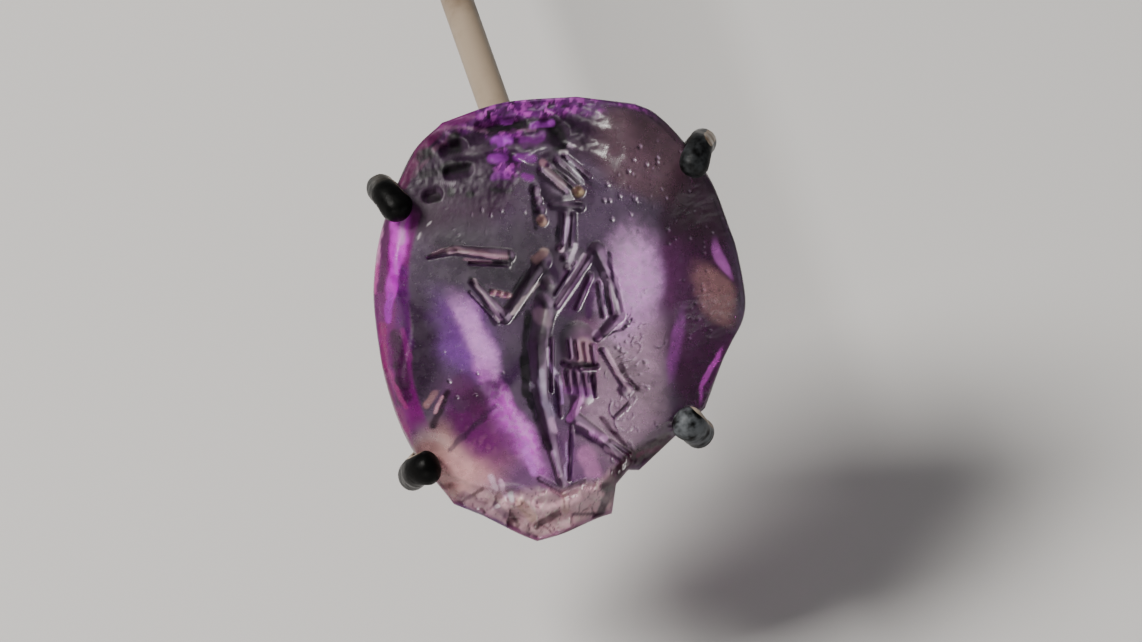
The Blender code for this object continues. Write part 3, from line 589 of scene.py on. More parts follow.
def break_share(x, y):
    """How rough the break is at each point, from 0 on the ground field to 1."""
    inward = rim_distance(x, y)
    wander = 0.5 * (layered_noise(x, y, 1.3, 11) - 0.5)
    top = step_up(y - 6.9 + 2.0 * step_up(-x, 1.0, 3.0) + wander * 3, 0, 1.1)
    top = top * step_up(2.4 - x + wander, 0, 1.5) * (1 - 0.45 * step_up(6.6 - y, 0, 1.5))
    foot = step_up(-y - 7.35 + 0.08 * x + wander * 1.6, 0, 0.5)
    corner = step_up(x * 0.63 - y * 0.777 - 6.55 + wander, 0, 0.35) * step_up(6.2 - x, 0, 0.8)
    right = 0.2 * step_up(x - 5.2 + wander * 3, 0, 0.8) * step_up(6.5 - np.abs(y - 1.5), 0, 2)
    rim = 0.5 * step_up(0.35 - inward + wander * 0.3, 0, 0.2)
    return np.clip(np.maximum.reduce([top, foot, corner, right, rim]), 0, 1)


# Depths of the fine surface in the breaks and on the field, in millimetres
SHELL_DEPTH = 0.24
SPLINTER_DEPTH = 0.17
CHUNK_DEPTH = 0.34
SUGAR_DEPTH = 0.05
BREAK_LIFT = 0.2
WEAR_DEPTH = 0.012


def fine_relief(x, y):
    """What the fine surface takes off the solid's front, in millimetres."""
    broken = break_share(x, y)
    leaning = x * 0.94 + y * 0.34, y * 0.94 - x * 0.34
    foot = step_up(-y, 5, 7)
    bent = 0.35 * layered_noise(x, y, 0.8, 27)
    chunks = facet_noise(x + bent, y - bent, 0.95, 25) + 0.3 * facet_noise(x - bent, y, 0.4, 26)
    calm = 1 - 0.6 * step_up(-x, 1.5, 3.0) * step_up(y, 2, 4)
    shells = ridge_noise(leaning[0] * 0.55, leaning[1] * 1.3, 0.95, 21)
    shells = calm * (1 - foot) * SHELL_DEPTH * shells
    splinters = ridge_noise(leaning[0] * 0.7, leaning[1] * 1.5, 0.42, 31)
    splinters = calm * (SPLINTER_DEPTH - 0.12 * foot) * splinters
    sugar = (SUGAR_DEPTH - 0.03 * foot) * lattice_noise(x, y, 0.14, 41)
    wear = WEAR_DEPTH * layered_noise(x, y, 0.9, 51) + 0.003 * lattice_noise(x, y, 0.16, 61)
    chips = shells + CHUNK_DEPTH * foot * chunks + splinters + sugar - BREAK_LIFT
    return broken * chips + wear


def pits():
    """Worn pits: place, radius and depth, first the larger ones that the photo shows singly."""
    random = np.random.RandomState(7)
    made = [(np.array(place), 0.12, 0.07) for place in (
        (2.15, 6.0), (2.0, 5.3), (2.25, 5.28), (2.7, 5.5), (3.35, 5.35), (2.35, 4.45), (3.1, 6.6),
        (3.9, 6.9), (4.4, 7.2), (3.6, 7.7))]
    zones = (
        ((3.2, -2.2), (0.8, 3.4), 90), ((4.2, 6.2), (2.2, 1.8), 60),
        ((-4.6, 4.4), (2.2, 1.4), 18), ((6.2, 2.5), (1.2, 4.4), 90),
        ((-4.5, -1.5), (2.0, 3.0), 22),
    )
    for centre, spread, count in zones:
        for _ in range(count):
            place = np.array(centre) + random.normal(size=2) * spread * 0.55
            radius = 0.035 + 0.09 * random.rand() ** 2.5
            made.append((place, radius, radius * (0.35 + 0.4 * random.rand())))
    return made


def crescents():
    """Small curved nicks beside the figure: middle, radius, direction, width and depth."""
    random = np.random.RandomState(17)
    made = [(np.array((2.75, -4.0)), 0.5, 215.0, 0.05, 0.08),
            (np.array((2.9, -4.6)), 0.42, 250.0, 0.05, 0.08)]
    for _ in range(34):
        place = np.array((3.1, -2.2)) + random.normal(size=2) * (0.5, 2.0)
        made.append((place, 0.1 + 0.2 * random.rand(), 360 * random.rand(), 0.035, 0.05))
    return made


def nick_depth(x, y):
    """Depth of the pits and crescents at each point."""
    depth = np.zeros_like(x)
    for place, radius, deep in pits():
        off = ((x - place[0]) ** 2 + (y - place[1]) ** 2) / radius ** 2
        depth = np.maximum(depth, deep * np.clip(1 - off, 0, 1))
    for place, radius, direction, width, deep in crescents():
        dx, dy = x - place[0], y - place[1]
        off = (np.hypot(dx, dy) - radius) / width
        turned = np.abs((np.degrees(np.arctan2(dy, dx)) - direction + 180) % 360 - 180)
        depth = np.maximum(depth, deep * np.clip(1 - off ** 2, 0, 1) * step_up(85 - turned, 0, 25))
    return depth


def gem_relief(x, y):
    """All that is cut, broken and worn off the ground front, in millimetres."""
    inward = rim_distance(x, y)
    fine = (fine_relief(x, y) + nick_depth(x, y)) * step_up(inward, 0.02, 0.3)
    return cut_depth(x, y) * np.clip(inward / CUT_RUN_IN, 0, 1) + fine


def round_grid(cells):
    """A square grid bent to a disc: direction, share of the radius and the border's indices."""
    line = np.linspace(-1, 1, cells + 1)
    u, v = np.meshgrid(line, line, indexing="ij")
    wide = np.abs(u) >= np.abs(v)
    share = np.where(wide, u, v)
    with np.errstate(divide="ignore", invalid="ignore"):
        turn = np.where(wide, math.pi / 4 * v / u, math.pi / 2 - math.pi / 4 * u / v)
    turn = np.where(share == 0, 0.0, turn)
    angle = turn + np.where(share < 0, math.pi, 0.0)
    index = np.arange((cells + 1) ** 2).reshape(cells + 1, cells + 1)
    border = np.concatenate([index[:-1, 0], index[-1, :-1], index[:0:-1, -1], index[0, :0:-1]])
    faces = np.stack([index[:-1, :-1], index[1:, :-1], index[1:, 1:], index[:-1, 1:]], axis=-1)
    return angle.ravel(), np.abs(share).ravel(), border, faces.reshape(-1, 4)


def gem_mesh():
    """Fine front, thin edge and domed back, with masks stored on the points."""
    angle, share, border, faces = round_grid(FRONT_CELLS)
    radius = share * edge_radius(angle)
    x, y = radius * np.cos(angle), radius * np.sin(angle)
    z = np.maximum(field_height(x, y) - gem_relief(x, y), EDGE_HALF)
    points = [np.stack([x, y, z], axis=1)]
    masks = {
        "cut": [np.clip(cut_depth(x, y) / 0.3, 0, 1)],
        "broken": [break_share(x, y)],
        "dull": [np.maximum(break_share(x, y) * step_up(y, 2, 4),
                            step_up(-x, 2.2, 3.4) * step_up(y, 3.0, 4.4))],
        "band": [band_share(x, y)],
    }
    rows = [np.array(border)]
    count = len(border)
    total = len(x)
    for k in range(BACK_ROWS):
        part = k / (BACK_ROWS - 1)
        ring_share = 1.0 - 0.985 * part ** 1.5
        rx, ry = x[border] * ring_share, y[border] * ring_share
        rough = 0.10 * (layered_noise(rx, ry, 1.6, 71) - 0.5) * (1 if k else 0)
        rz = back_height(rx, ry) + rough
        points.append(np.stack([rx, ry, rz], axis=1))
        for name, values in masks.items():
            values.append(np.full(count, 0.6 if name == "broken" and k < 2 else 0.0))
        rows.append(np.arange(total, total + count))
        total += count
    points.append(np.array([[0.0, 0.0, -BACK_DEPTH]]))
    for values in masks.values():
        values.append(np.zeros(1))
    polygons = [tuple(face) for face in faces]
    following = np.roll(np.arange(count), -1)
    for upper, lower in zip(rows, rows[1:]):
        polygons += [tuple(q) for q in np.stack(
            [upper, lower, lower[following], upper[following]], axis=1)]
    last = rows[-1]
    polygons += [(last[i], total, last[(i + 1) % count]) for i in range(count)]
    mesh = bpy.data.meshes.new("amethyst_gem")
    place = np.concatenate(points)
    mesh.from_pydata(place, [], polygons)
    for name, values in masks.items():
        store(mesh, name, "FLOAT", np.concatenate(values))
    store(mesh, "place", "FLOAT_VECTOR", place)
    tint = gem_tint(place[:, 0], place[:, 1])
    store(mesh, "tint", "FLOAT_COLOR", np.column_stack([tint, np.ones(len(tint))]))
    return mesh


def face_outward(mesh):
    """Turns every face to the outside."""
    shape = bmesh.new()
    shape.from_mesh(mesh)
    bmesh.ops.recalc_face_normals(shape, faces=shape.faces)
    shape.to_mesh(mesh)
    shape.free()


def place_piece(name, mesh, look, matrix, node):
    """Links a piece, gives it its material, hangs it on the root body and hides the part it replaces.
    """
    mesh.materials.append(look)
    mesh.shade_smooth()
    mesh.transform(matrix)
    face_outward(mesh)
    piece = bpy.data.objects.new(name, mesh)
    bpy.context.scene.collection.objects.link(piece)
    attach(piece, "root")
    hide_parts(node)
    return piece


# Shader helpers

class Nodes:
    """Short calls for building a material's nodes."""

    def __init__(self, name):
        self.material = bpy.data.materials.new(name)
        self.material.use_nodes = True
        self.tree = self.material.node_tree
        self.shader = self.tree.nodes["Principled BSDF"]
        self.output = self.tree.nodes["Material Output"]

    def add(self, kind, **settings):
        """A node with its settings; a setting that names an input sets its value or link."""
        node = self.tree.nodes.new(kind)
        for key, value in settings.items():
            if hasattr(node, key):
                setattr(node, key, value)
            else:
                self.feed(node.inputs[key.replace("_", " ")], value)
        return node

    def feed(self, socket, value):
        """Links an output to a socket, or sets its value."""
        if isinstance(value, bpy.types.NodeSocket):
            self.tree.links.new(value, socket)
        else:
            socket.default_value = value

    def attribute(self, name):
        """A mask stored on the mesh."""
        return self.add("ShaderNodeAttribute", attribute_name=name).outputs["Fac"]

    def gem_place(self):
        """Place in the gem's own millimetres."""
        return self.add("ShaderNodeAttribute", attribute_name="place").outputs["Vector"]

    def noise(self, vector, scale, detail=4.0, roughness=0.55):
        """Noise from 0 to 1."""
        node = self.add("ShaderNodeTexNoise", Scale=scale, Detail=detail, Roughness=roughness,
                        Vector=vector)
        return node.outputs["Fac"]

    def range(self, value, low, high, to_low=0.0, to_high=1.0):
        """Maps a value smoothly from one range to another."""
        node = self.add("ShaderNodeMapRange", interpolation_type="SMOOTHSTEP", Value=value)
        for index, number in zip((1, 2, 3, 4), (low, high, to_low, to_high)):
            node.inputs[index].default_value = number
        return node.outputs["Result"]

    def math(self, operation, a, b=0.0):
        """One arithmetic step."""
        node = self.add("ShaderNodeMath", operation=operation)
        self.feed(node.inputs[0], a)
        self.feed(node.inputs[1], b)
        return node.outputs[0]

    def mix(self, factor, a, b, blend="MIX"):
        """Mixes two colours."""
        node = self.add("ShaderNodeMix", data_type="RGBA", blend_type=blend)
        self.feed(node.inputs[0], factor)
        self.feed(node.inputs[6], a)
        self.feed(node.inputs[7], b)
        return node.outputs[2]

    def bump(self, height, strength, distance):
        """A bump from a height, in metres."""
        node = self.add("ShaderNodeBump", Height=height, Strength=strength, Distance=distance)
        return node.outputs["Normal"]


# Some zones are painted light: glows inside the stone, a sheen and a shadow between the glows
# Zones of colour on the gem's face: middle, half sizes, turn, softness, colour and strength
TINTS = {
    "pale foot of the field": ((-0.5, -7.0), (3.6, 2.2), 0, 0.7, (140, 96, 142), 0.6),
    "warm grey right": ((2.9, -2.6), (2.0, 3.6), -8, 0.8, (184, 158, 176), 0.85),
    # painted sheen: lilac light on the field right of the figure
    "painted lilac sheen right of the figure": ((3.1, 1.5), (1.25, 2.2), -14, 1.2, (244, 200, 250), 1.0),
    "dark right flank": ((6.3, 0.6), (1.55, 6.0), 6, 0.45, (82, 38, 76), 0.92),
    "brown patch": ((6.9, 1.1), (0.65, 1.35), 38, 0.7, (180, 136, 134), 0.9),
    "right flank violet": ((5.4, -1.2), (0.3, 1.5), -8, 0.9, (190, 90, 200), 0.55),
    "upper right streak": ((7.15, 2.65), (0.22, 1.0), 22, 0.6, (236, 130, 240), 0.95),
    "lower right streak": ((6.85, -2.55), (0.11, 1.05), -22, 0.7, (240, 100, 236), 1.0),
    "violet round the left glow": ((-4.3, -0.6), (1.3, 2.3), 16, 1.0, (122, 70, 150), 0.8),
    # painted glow: light focused inside the stone
    "left glow": ((-3.75, -0.8), (0.6, 1.9), 22, 1.2, (244, 176, 255), 0.8),
    "dark left of the glow": ((-6.2, -1.2), (0.9, 2.6), 4, 0.9, (48, 20, 52), 0.95),
    # painted shadow: the wire arm's shade across the stone between the glows
    "painted shadow between the glows": ((-3.6, -3.5), (3.4, 0.42), 38, 1.0, (74, 34, 86), 0.85),
    "clear lower left": ((-4.9, -6.7), (2.5, 1.6), 36, 1.2, (250, 190, 186), 1.0),
    # painted glow: light focused inside the stone
    "diagonal glow": ((-2.15, -4.7), (0.55, 2.5), 30, 1.1, (250, 110, 255), 0.9),
    "magenta left of it": ((-3.6, -4.9), (0.9, 2.0), 35, 1.1, (118, 22, 112), 0.9),
    "dark upper left": ((-4.6, 5.6), (2.8, 1.8), 22, 0.7, (66, 30, 64), 0.85),
    "grey upper middle": ((-3.4, 2.6), (3.0, 1.7), 10, 0.8, (84, 76, 88), 0.85),
    "top right shoulder": ((3.9, 7.3), (3.2, 1.7), -28, 0.5, (106, 82, 92), 0.85),
    "dark above the claw": ((6.2, 5.0), (1.4, 1.7), 10, 0.8, (72, 44, 60), 0.8),
    "tunic": ((1.1, -1.9), (0.75, 1.7), 0, 0.8, (168, 98, 156), 0.7),
    "lower right edge": ((4.3, -6.4), (1.7, 0.4), 42, 0.6, (84, 18, 76), 0.95),
    "first white dash": ((-5.76, 4.28), (0.16, 0.05), 52, 0.8, (236, 226, 232), 1.0),
    "second white dash": ((-6.25, 3.7), (0.17, 0.05), 52, 0.8, (236, 226, 232), 1.0),
}

# How far the zones' outlines wander, and the painted glows, speckled with painted glints
ZONE_WANDER = 0.9
GLOWS = ("left glow", "diagonal glow", "painted lilac sheen right of the figure")
GLOW_SPECKLE = (250, 180, 255)

# Strokes of shade and light in the engraving and the breaks: start, end, half width, colour
# and strength
STROKES = (
    # Object in the hand, the arm on the left and the shoulder
    (-5.64, 2.95, -4.85, 3.09, 0.07, (190, 150, 170), 0.7),
    (-4.93, 3.07, -3.88, 3.03, 0.12, (255, 225, 230), 0.95),
    (-3.95, 2.99, -2.34, 2.82, 0.11, (235, 190, 205), 0.9),
    (-3.95, 2.43, -2.19, 2.58, 0.15, (30, 20, 34), 0.85),
    (-4.25, 2.62, -3.05, 2.56, 0.07, (190, 140, 170), 0.7),
    (-2.3, 3.03, -2.15, 2.65, 0.07, (30, 20, 34), 0.8),
    (-3.95, 1.83, -2.83, -0.27, 0.09, (34, 24, 38), 0.9),
    (-3.8, 1.75, -2.64, 0.03, 0.07, (225, 205, 215), 0.85),
    (-1.4, 2.21, -2.3, 0.56, 0.14, (30, 20, 34), 0.9),
    (-0.95, 1.57, -2.11, 0.22, 0.09, (225, 205, 210), 0.85),
    (-1.25, 1.15, -2, -0.04, 0.06, (40, 30, 44), 0.8),
    (-1.04, 2.67, -0.69, 2.97, 0.18, (215, 180, 165), 0.9),
    (-2.98, 1.15, -2.26, 1.08, 0.1, (235, 180, 190), 0.8),
    # Neck, bust and the cloak's folds
    (0.51, 1.75, 0.4, 0.63, 0.49, (112, 60, 118), 0.6),
    (-0.05, 4.15, -0.14, 3.48, 0.1, (20, 12, 26), 0.9),
    (0.36, 4.46, 0.17, 3.44, 0.1, (235, 205, 245), 0.85),
    (0.7, 4.3, 0.55, 3.55, 0.08, (70, 45, 80), 0.7),
    (0.04, 3.12, 0.08, 3.09, 0.11, (255, 220, 245), 1),
    (0.74, 3.37, 0.51, 2.5, 0.09, (250, 235, 255), 0.9),
    (0.38, 2.32, 0.41, 2.29, 0.1, (255, 245, 255), 1),
    (-0.35, 2.5, -0.13, 1.75, 0.16, (60, 24, 70), 0.85),
    (-0.58, 1.75, -0.2, 1.08, 0.12, (110, 95, 110), 0.7),
    (1.11, 2.84, -0.05, 0.7, 0.1, (245, 220, 245), 0.85),
    (0.58, 2.21, -0.24, 0.93, 0.09, (60, 28, 70), 0.9),
    (1.19, 1.75, 0.4, 0.63, 0.16, (78, 30, 84), 0.85),
    (1.37, 1.46, 1.3, 0.25, 0.18, (96, 40, 104), 0.8),
    # Arm on the right with the folds inside it
    (1.45, 2.95, 1.6, 1.98, 0.19, (78, 58, 84), 0.75),
    (2.16, 2.95, 2.68, 0.4, 0.1, (50, 26, 58), 0.9),
    (1.75, 1.46, 2.01, 0.25, 0.07, (205, 200, 215), 0.8),
    (2.2, 1.68, 2.57, 0.29, 0.1, (255, 240, 255), 0.95),
    (1.97, 1.46, 2.23, 0.22, 0.07, (60, 48, 72), 0.9),
    (1.9, 1.98, 2.09, 1.57, 0.09, (200, 170, 205), 0.7),
    # Hair, the lock behind and the soft shade beside the plain face
    (-0.5, 6.71, 0.21, 5.95, 0.16, (190, 165, 175), 0.8),
    (-0.43, 7.12, 0.51, 5.99, 0.11, (16, 10, 20), 0.9),
    (0.17, 7, 0.85, 6.1, 0.1, (150, 145, 152), 0.75),
    (0.47, 7.04, 1.07, 6.1, 0.07, (235, 235, 245), 0.85),
    (0.32, 6.78, 0.74, 6.07, 0.05, (24, 18, 28), 0.8),
    (-0.88, 6.55, -0.13, 5.8, 0.1, (40, 26, 44), 0.8),
    (-1.25, 5.95, -1.06, 4.08, 0.1, (20, 12, 24), 0.9),
    (-1.06, 5.73, -0.92, 5.28, 0.1, (175, 150, 175), 0.7),
    (-0.8, 4.46, -0.76, 4.37, 0.18, (215, 180, 160), 0.85),
    (0.81, 5.77, 0.85, 5.66, 0.21, (225, 200, 150), 0.85),
    (0.17, 5.05, 0.7, 5.05, 0.47, (52, 34, 58), 0.8),
    (-0.8, 6.99, -0.74, 6.95, 0.14, (215, 165, 175), 0.85),
    (0.1, 7.54, 0.32, 7.51, 0.09, (245, 235, 240), 0.8),
    (1.15, 6.48, 1.37, 5.35, 0.19, (66, 42, 72), 0.7),
    # Belly and the leg on the left
    (-0.86, 0.22, -0.69, -0.04, 0.32, (160, 136, 148), 0.8),
    (-1.37, 0.25, -1.54, -1.84, 0.19, (16, 10, 18), 0.95),
    (-1.54, -1.84, -1.51, -3.34, 0.19, (16, 10, 18), 0.95),
    (-1.37, -3.34, -0.54, -5.74, 0.15, (12, 6, 16), 0.95),
    (-0.84, -0.57, -0.88, -1.84, 0.26, (70, 58, 72), 0.8),
    (-0.8, -2.37, -0.77, -3.34, 0.14, (225, 215, 240), 0.75),
    (-0.54, -1.36, -0.41, -2.07, 0.07, (250, 225, 255), 0.9),
    (-0.41, -2.07, 0.06, -2.97, 0.08, (240, 215, 255), 0.9),
    (0.06, -2.97, 0.11, -3.79, 0.07, (200, 150, 225), 0.8),
    (-0.2, -3.12, -0.13, -4.17, 0.13, (40, 12, 54), 0.9),
    (-0.73, -3.5, -0.35, -4.4, 0.15, (170, 160, 190), 0.7),
    (-0.32, -4.54, -0.2, -5, 0.11, (250, 205, 250), 0.85),
    (-1.25, -2.89, -1.18, -2.97, 0.09, (190, 190, 200), 0.6),
    (-0.05, -5.29, 0.17, -6.04, 0.12, (96, 60, 104), 0.8),
    (-0.32, -5.97, 0.1, -6.95, 0.09, (250, 225, 255), 0.9),
    (0.32, -5.6, 0.32, -7.09, 0.06, (215, 180, 230), 0.8),
    (0.55, -5.14, 0.55, -7.4, 0.07, (70, 24, 84), 0.85),
    # Tunic, shaft and the leg on the right
    (1.07, -1.17, 1.11, -1.77, 0.32, (205, 160, 170), 0.65),
    (0.81, -1.47, 0.81, -1.77, 0.05, (100, 40, 90), 0.8),
    (1.33, -1.4, 1.37, -1.77, 0.05, (100, 40, 90), 0.8),
    (0.43, -2.11, 1.6, -2.03, 0.15, (30, 8, 30), 0.9),
    (0.62, -2.37, 0.62, -2.89, 0.07, (50, 14, 58), 0.85),
    (0.96, -2.37, 0.96, -2.97, 0.07, (50, 14, 58), 0.85),
    (1.33, -2.37, 1.33, -2.82, 0.07, (50, 14, 58), 0.85),
    (0.4, -3.19, 1.45, -3.34, 0.18, (150, 80, 160), 0.7),
    (1.6, -2.07, 1.56, -3.34, 0.09, (44, 10, 44), 0.85),
    (0.96, -3.61, 0.51, -4.43, 0.15, (255, 170, 255), 1),
    (2.09, -1.47, 3.13, -3.27, 0.08, (250, 215, 235), 0.9),
    (2.76, -2.15, 3.44, -3.12, 0.14, (50, 14, 44), 0.85),
    (2.91, -3.12, 2.95, -3.34, 0.1, (200, 185, 200), 0.8),
    (1.9, -0.8, 2.87, -0.46, 0.07, (30, 8, 36), 0.9),
    (2.87, -0.46, 3.21, 0.03, 0.07, (40, 14, 46), 0.85),
    (1.67, -0.64, 1.78, -0.8, 0.15, (240, 190, 240), 0.8),
    (0.85, -4.62, 1.67, -5.07, 0.07, (230, 190, 225), 0.85),
    (1.45, -5.07, 2.01, -5.37, 0.13, (255, 190, 255), 0.95),
    (0.85, -5.03, 2.87, -6.34, 0.13, (44, 16, 50), 0.9),
    (1.9, -4.47, 3.25, -6.04, 0.11, (48, 10, 40), 0.85),
    (2.05, -5.78, 2.83, -6.19, 0.07, (200, 175, 195), 0.7),
    (1.15, -6.04, 1.52, -6.72, 0.36, (220, 150, 205), 0.7),
    # Break at the lower right and the foot
    (2.12, -7.54, 3.02, -6.34, 0.28, (46, 6, 28), 0.9),
    (3.1, -6.34, 4.75, -5.52, 0.34, (52, 6, 32), 0.9),
    (1.67, -8.89, 2.35, -7.69, 0.16, (50, 10, 40), 0.8),
    (3.47, -6.12, 4.45, -5.74, 0.07, (110, 14, 70), 0.8),
    (-4.33, -8.18, -3.43, -7.54, 0.07, (96, 56, 60), 0.8),
    (-1.06, -9.31, -0.05, -8.71, 0.13, (74, 40, 44), 0.85),
    (-2.83, -8.33, -2.42, -8.78, 0.16, (104, 62, 100), 0.75),
    (-2.19, -8.82, -1.85, -9.23, 0.09, (80, 44, 50), 0.8),
    (0.7, -8.82, 1.52, -8.67, 0.07, (90, 50, 70), 0.8),
    (-2.23, -7.84, -2.14, -8.07, 0.1, (255, 250, 255), 1),
    (-3.09, -7.02, -2.87, -7.54, 0.1, (250, 215, 235), 0.85),
    (-2.64, -7.25, -2.42, -7.92, 0.1, (250, 205, 235), 0.85),
    (-4.37, -7.99, -2.53, -8.89, 0.26, (150, 96, 130), 0.5),
    (-4.55, -8.44, -2.45, -9.38, 0.15, (96, 34, 116), 0.85),
    (0.1, -9.64, 1.45, -9.2, 0.1, (96, 30, 70), 0.8),
    (-1.78, -8.22, -1.25, -8.97, 0.19, (240, 200, 175), 0.7),
    (0.17, -7.92, 0.32, -8.59, 0.16, (235, 195, 185), 0.7),
    # Lower left
    (-5.68, -4.77, -5, -3.34, 0.14, (40, 10, 34), 0.9),
    (-5.59, -4.24, -5.21, -3.5, 0.06, (245, 180, 200), 0.9),
    (-4.85, -5.82, -2.9, -3.87, 0.12, (66, 22, 66), 0.8),
    (-4.55, -3.79, -3.05, -3.12, 0.38, (74, 40, 80), 0.6),
    (-5.9, -3.79, -5.6, -3.34, 0.16, (200, 150, 150), 0.6),
    # Painted glows, and painted shade beside them
    (-4.93, -1.24, -4.25, -1.77, 0.38, (150, 84, 190), 0.35),
    (-3.5, -1.24, -3.05, -1.62, 0.16, (245, 180, 255), 0.5),
    (-1.55, -5.6, -1.14, -6.87, 0.18, (235, 140, 255), 0.6),
    (-2.9, -3.79, -2, -5.6, 0.45, (120, 20, 130), 0.4),
    (-4.33, -2.89, -3.58, -3.79, 0.45, (96, 30, 84), 0.5),
    # Band along the left edge
    (-7.09, 2.16, -7.04, -0.27, 0.29, (96, 0, 112), 0.8),
    (-6.95, 1.08, -6.77, -1.17, 0.22, (82, 0, 92), 0.85),
    (-7.27, -0.72, -6.95, -3.51, 0.32, (64, 0, 60), 0.9),
    (-7.13, 4.5, -7.25, 2.88, 0.36, (255, 60, 255), 1),
    (-7.25, 2.88, -7.56, 1.08, 0.22, (232, 10, 240), 0.95),
    (-7.56, 1.08, -7.72, 0, 0.13, (196, 10, 215), 0.9),
    (-6.96, 4.5, -7.07, 3.42, 0.09, (255, 170, 255), 0.95),
    (-7.92, 4.5, -8.24, 2.43, 0.09, (255, 160, 225), 0.8),
    (-8.24, 2.43, -8.29, 1.17, 0.08, (225, 90, 185), 0.75),
    (-7.72, 4.41, -7.99, 1.35, 0.14, (90, 0, 80), 0.7),
    (-7.04, -0.45, -6.73, -1.8, 0.11, (140, 4, 126), 0.8),
    (-7.99, -0.27, -7.81, -2.07, 0.16, (160, 24, 120), 0.8),
    (-7.81, -2.07, -6.86, -3.96, 0.1, (176, 36, 136), 0.75),
    (-8.03, -1.89, -7.18, -4.77, 0.14, (126, 4, 90), 0.75),
    (-7.27, -4.14, -6.77, -5.58, 0.22, (150, 30, 118), 0.7),
    # Rim and web at the upper left
    (-7.03, 6.03, -6.3, 7.49, 0.2, (120, 16, 92), 0.8),
    (-6.3, 7.49, -5.29, 8.67, 0.22, (126, 16, 100), 0.8),
    (-5.29, 8.67, -3.94, 9.18, 0.22, (146, 20, 130), 0.8),
    (-6.58, 6.37, -5.62, 7.55, 0.08, (140, 90, 120), 0.5),
    (-5.62, 7.55, -4.61, 8.39, 0.08, (140, 90, 120), 0.5),
    (-5.06, 8.62, -3.26, 8.48, 0.07, (180, 130, 165), 0.6),
    (-3.26, 8.34, -1.12, 8.53, 0.07, (180, 130, 165), 0.6),
    (-6.19, 7.32, -5.91, 7.38, 0.25, (14, 2, 16), 0.9),
    (-4.72, 8.11, -4.7, 7.44, 0.29, (6, 0, 8), 0.95),
    (-6.13, 6.42, -5.62, 6.59, 0.18, (10, 0, 12), 0.9),
    (-5.12, 6.73, -4.16, 6.79, 0.27, (4, 0, 6), 0.95),
    (-3.04, 8.5, -1.24, 8.79, 0.22, (6, 0, 8), 0.9),
    (-4.05, 7.58, -2.59, 7.77, 0.11, (96, 80, 98), 0.6),
    (-5.29, 7.15, -3.94, 7.47, 0.1, (96, 80, 98), 0.6),
    (-3.82, 6.65, -3.26, 6.76, 0.2, (96, 80, 98), 0.6),
    (-5.74, 5.44, -5.51, 5.49, 0.22, (24, 8, 22), 0.9),
    (-4.89, 5.71, -4.87, 5.62, 0.15, (10, 2, 12), 0.95),
    (-4.02, 5.6, -3.98, 5.58, 0.15, (8, 2, 10), 0.95),
    (-3.04, 5.8, -2.14, 5.75, 0.09, (20, 8, 22), 0.8),
    (-4.05, 6.03, -2.7, 6.2, 0.16, (84, 70, 86), 0.6),
    # Top break
    (-2.83, 7.9, -2.3, 7.98, 0.22, (215, 70, 250), 0.8),
    (-3.05, 7.15, -2.45, 7.23, 0.19, (190, 56, 215), 0.7),
    (-1.55, 7.9, -0.88, 8.13, 0.24, (150, 44, 165), 0.7),
    (-1.85, 7.23, -1.25, 7.15, 0.19, (165, 50, 185), 0.65),
    (-2.83, 6.37, -2.38, 6.41, 0.19, (165, 50, 185), 0.65),
    (-1.55, 6.41, -1.25, 6.33, 0.15, (165, 44, 180), 0.65),
    (-0.2, 8.65, -0.05, 7.9, 0.33, (8, 2, 10), 0.95),
    (-4.18, 7.45, -2.98, 7.72, 0.14, (96, 84, 96), 0.75),
    (-2.3, 7.72, -0.8, 7.83, 0.1, (90, 70, 92), 0.7),
    (-3.8, 6.78, -3.35, 6.48, 0.14, (110, 98, 110), 0.7),
    (-5.3, 6.1, -4.7, 6.03, 0.07, (170, 160, 170), 0.6),
    (-1.25, 8.65, -0.35, 8.8, 0.12, (190, 60, 215), 0.85),
    (-2.6, 8.88, -2.15, 8.84, 0.1, (200, 70, 225), 0.85),
    (0.4, 7.83, 0.55, 7.75, 0.09, (200, 180, 200), 0.8),
    (0.4, 8.8, 0.85, 8.35, 0.14, (30, 8, 34), 0.8),
)

# How far the strokes wander, and where they begin and stop fading, as shares of the half width
STROKE_WANDER = 0.14
STROKE_CORE = 0.7
STROKE_REACH = 1.45

# Direction in which a wall faces away from the light, and the step that measures its slope
LIT_SIDE = (0.8, 0.6)
SLOPE_STEP = 0.02

# Colours of the field, the left band, the top break, the foot's break and the cuts
FIELD = (98, 82, 104)
BAND_DARK = (132, 0, 122)
CHIP_DARK = (46, 10, 50)
# painted highlight on the top break's walls that face the light
CHIP_LIT_GREY = (112, 98, 112)
CHIP_VIOLET = (150, 26, 168)
# painted glints in the crest of the top break
CHIP_GLINT = (255, 110, 255)
FOOT_BREAK = (255, 206, 212)
FOOT_SHADE = (110, 60, 86)
# painted highlight on the foot break's walls that face the light
FOOT_HIGHLIGHT = (248, 228, 216)
FOOT_EDGE_TINT = (150, 40, 130)
CUT_SHADE = (38, 24, 42)
CUT_FILL = (104, 86, 108)
CUT_LIGHT = (232, 200, 236)

# Share of the gem that is seen through, its refraction, and the colour and density inside it
SEEN_THROUGH = 0.64
REFRACTION = 1.54
DYE_COLOUR = (0.627, 0.115, 0.676, 1.0)
DYE_DENSITY = 150.0

# Colours and gloss of the wire, the rod and the foot
METAL_BLACK = (6, 6, 6)
METAL_GREY = (104, 108, 112)
METAL_GLOSS = 0.07
WIRE_CREAM = (178, 163, 146)
WIRE_BROWN = (112, 92, 74)
PAINT_CREAM = (146, 130, 112)
PAINT_BROWN = (98, 80, 62)
PAINT_ROUGHNESS = 0.45


def colour(red, green, blue):
    """A colour from its screen values, as the shader wants it."""
    shares = np.array([red, green, blue]) / 255.0
    return np.where(shares <= 0.04045, shares / 12.92, ((shares + 0.055) / 1.055) ** 2.4)


def opaque(shade):
    """A shader's colour from screen values."""
    return (*colour(*shade), 1.0)


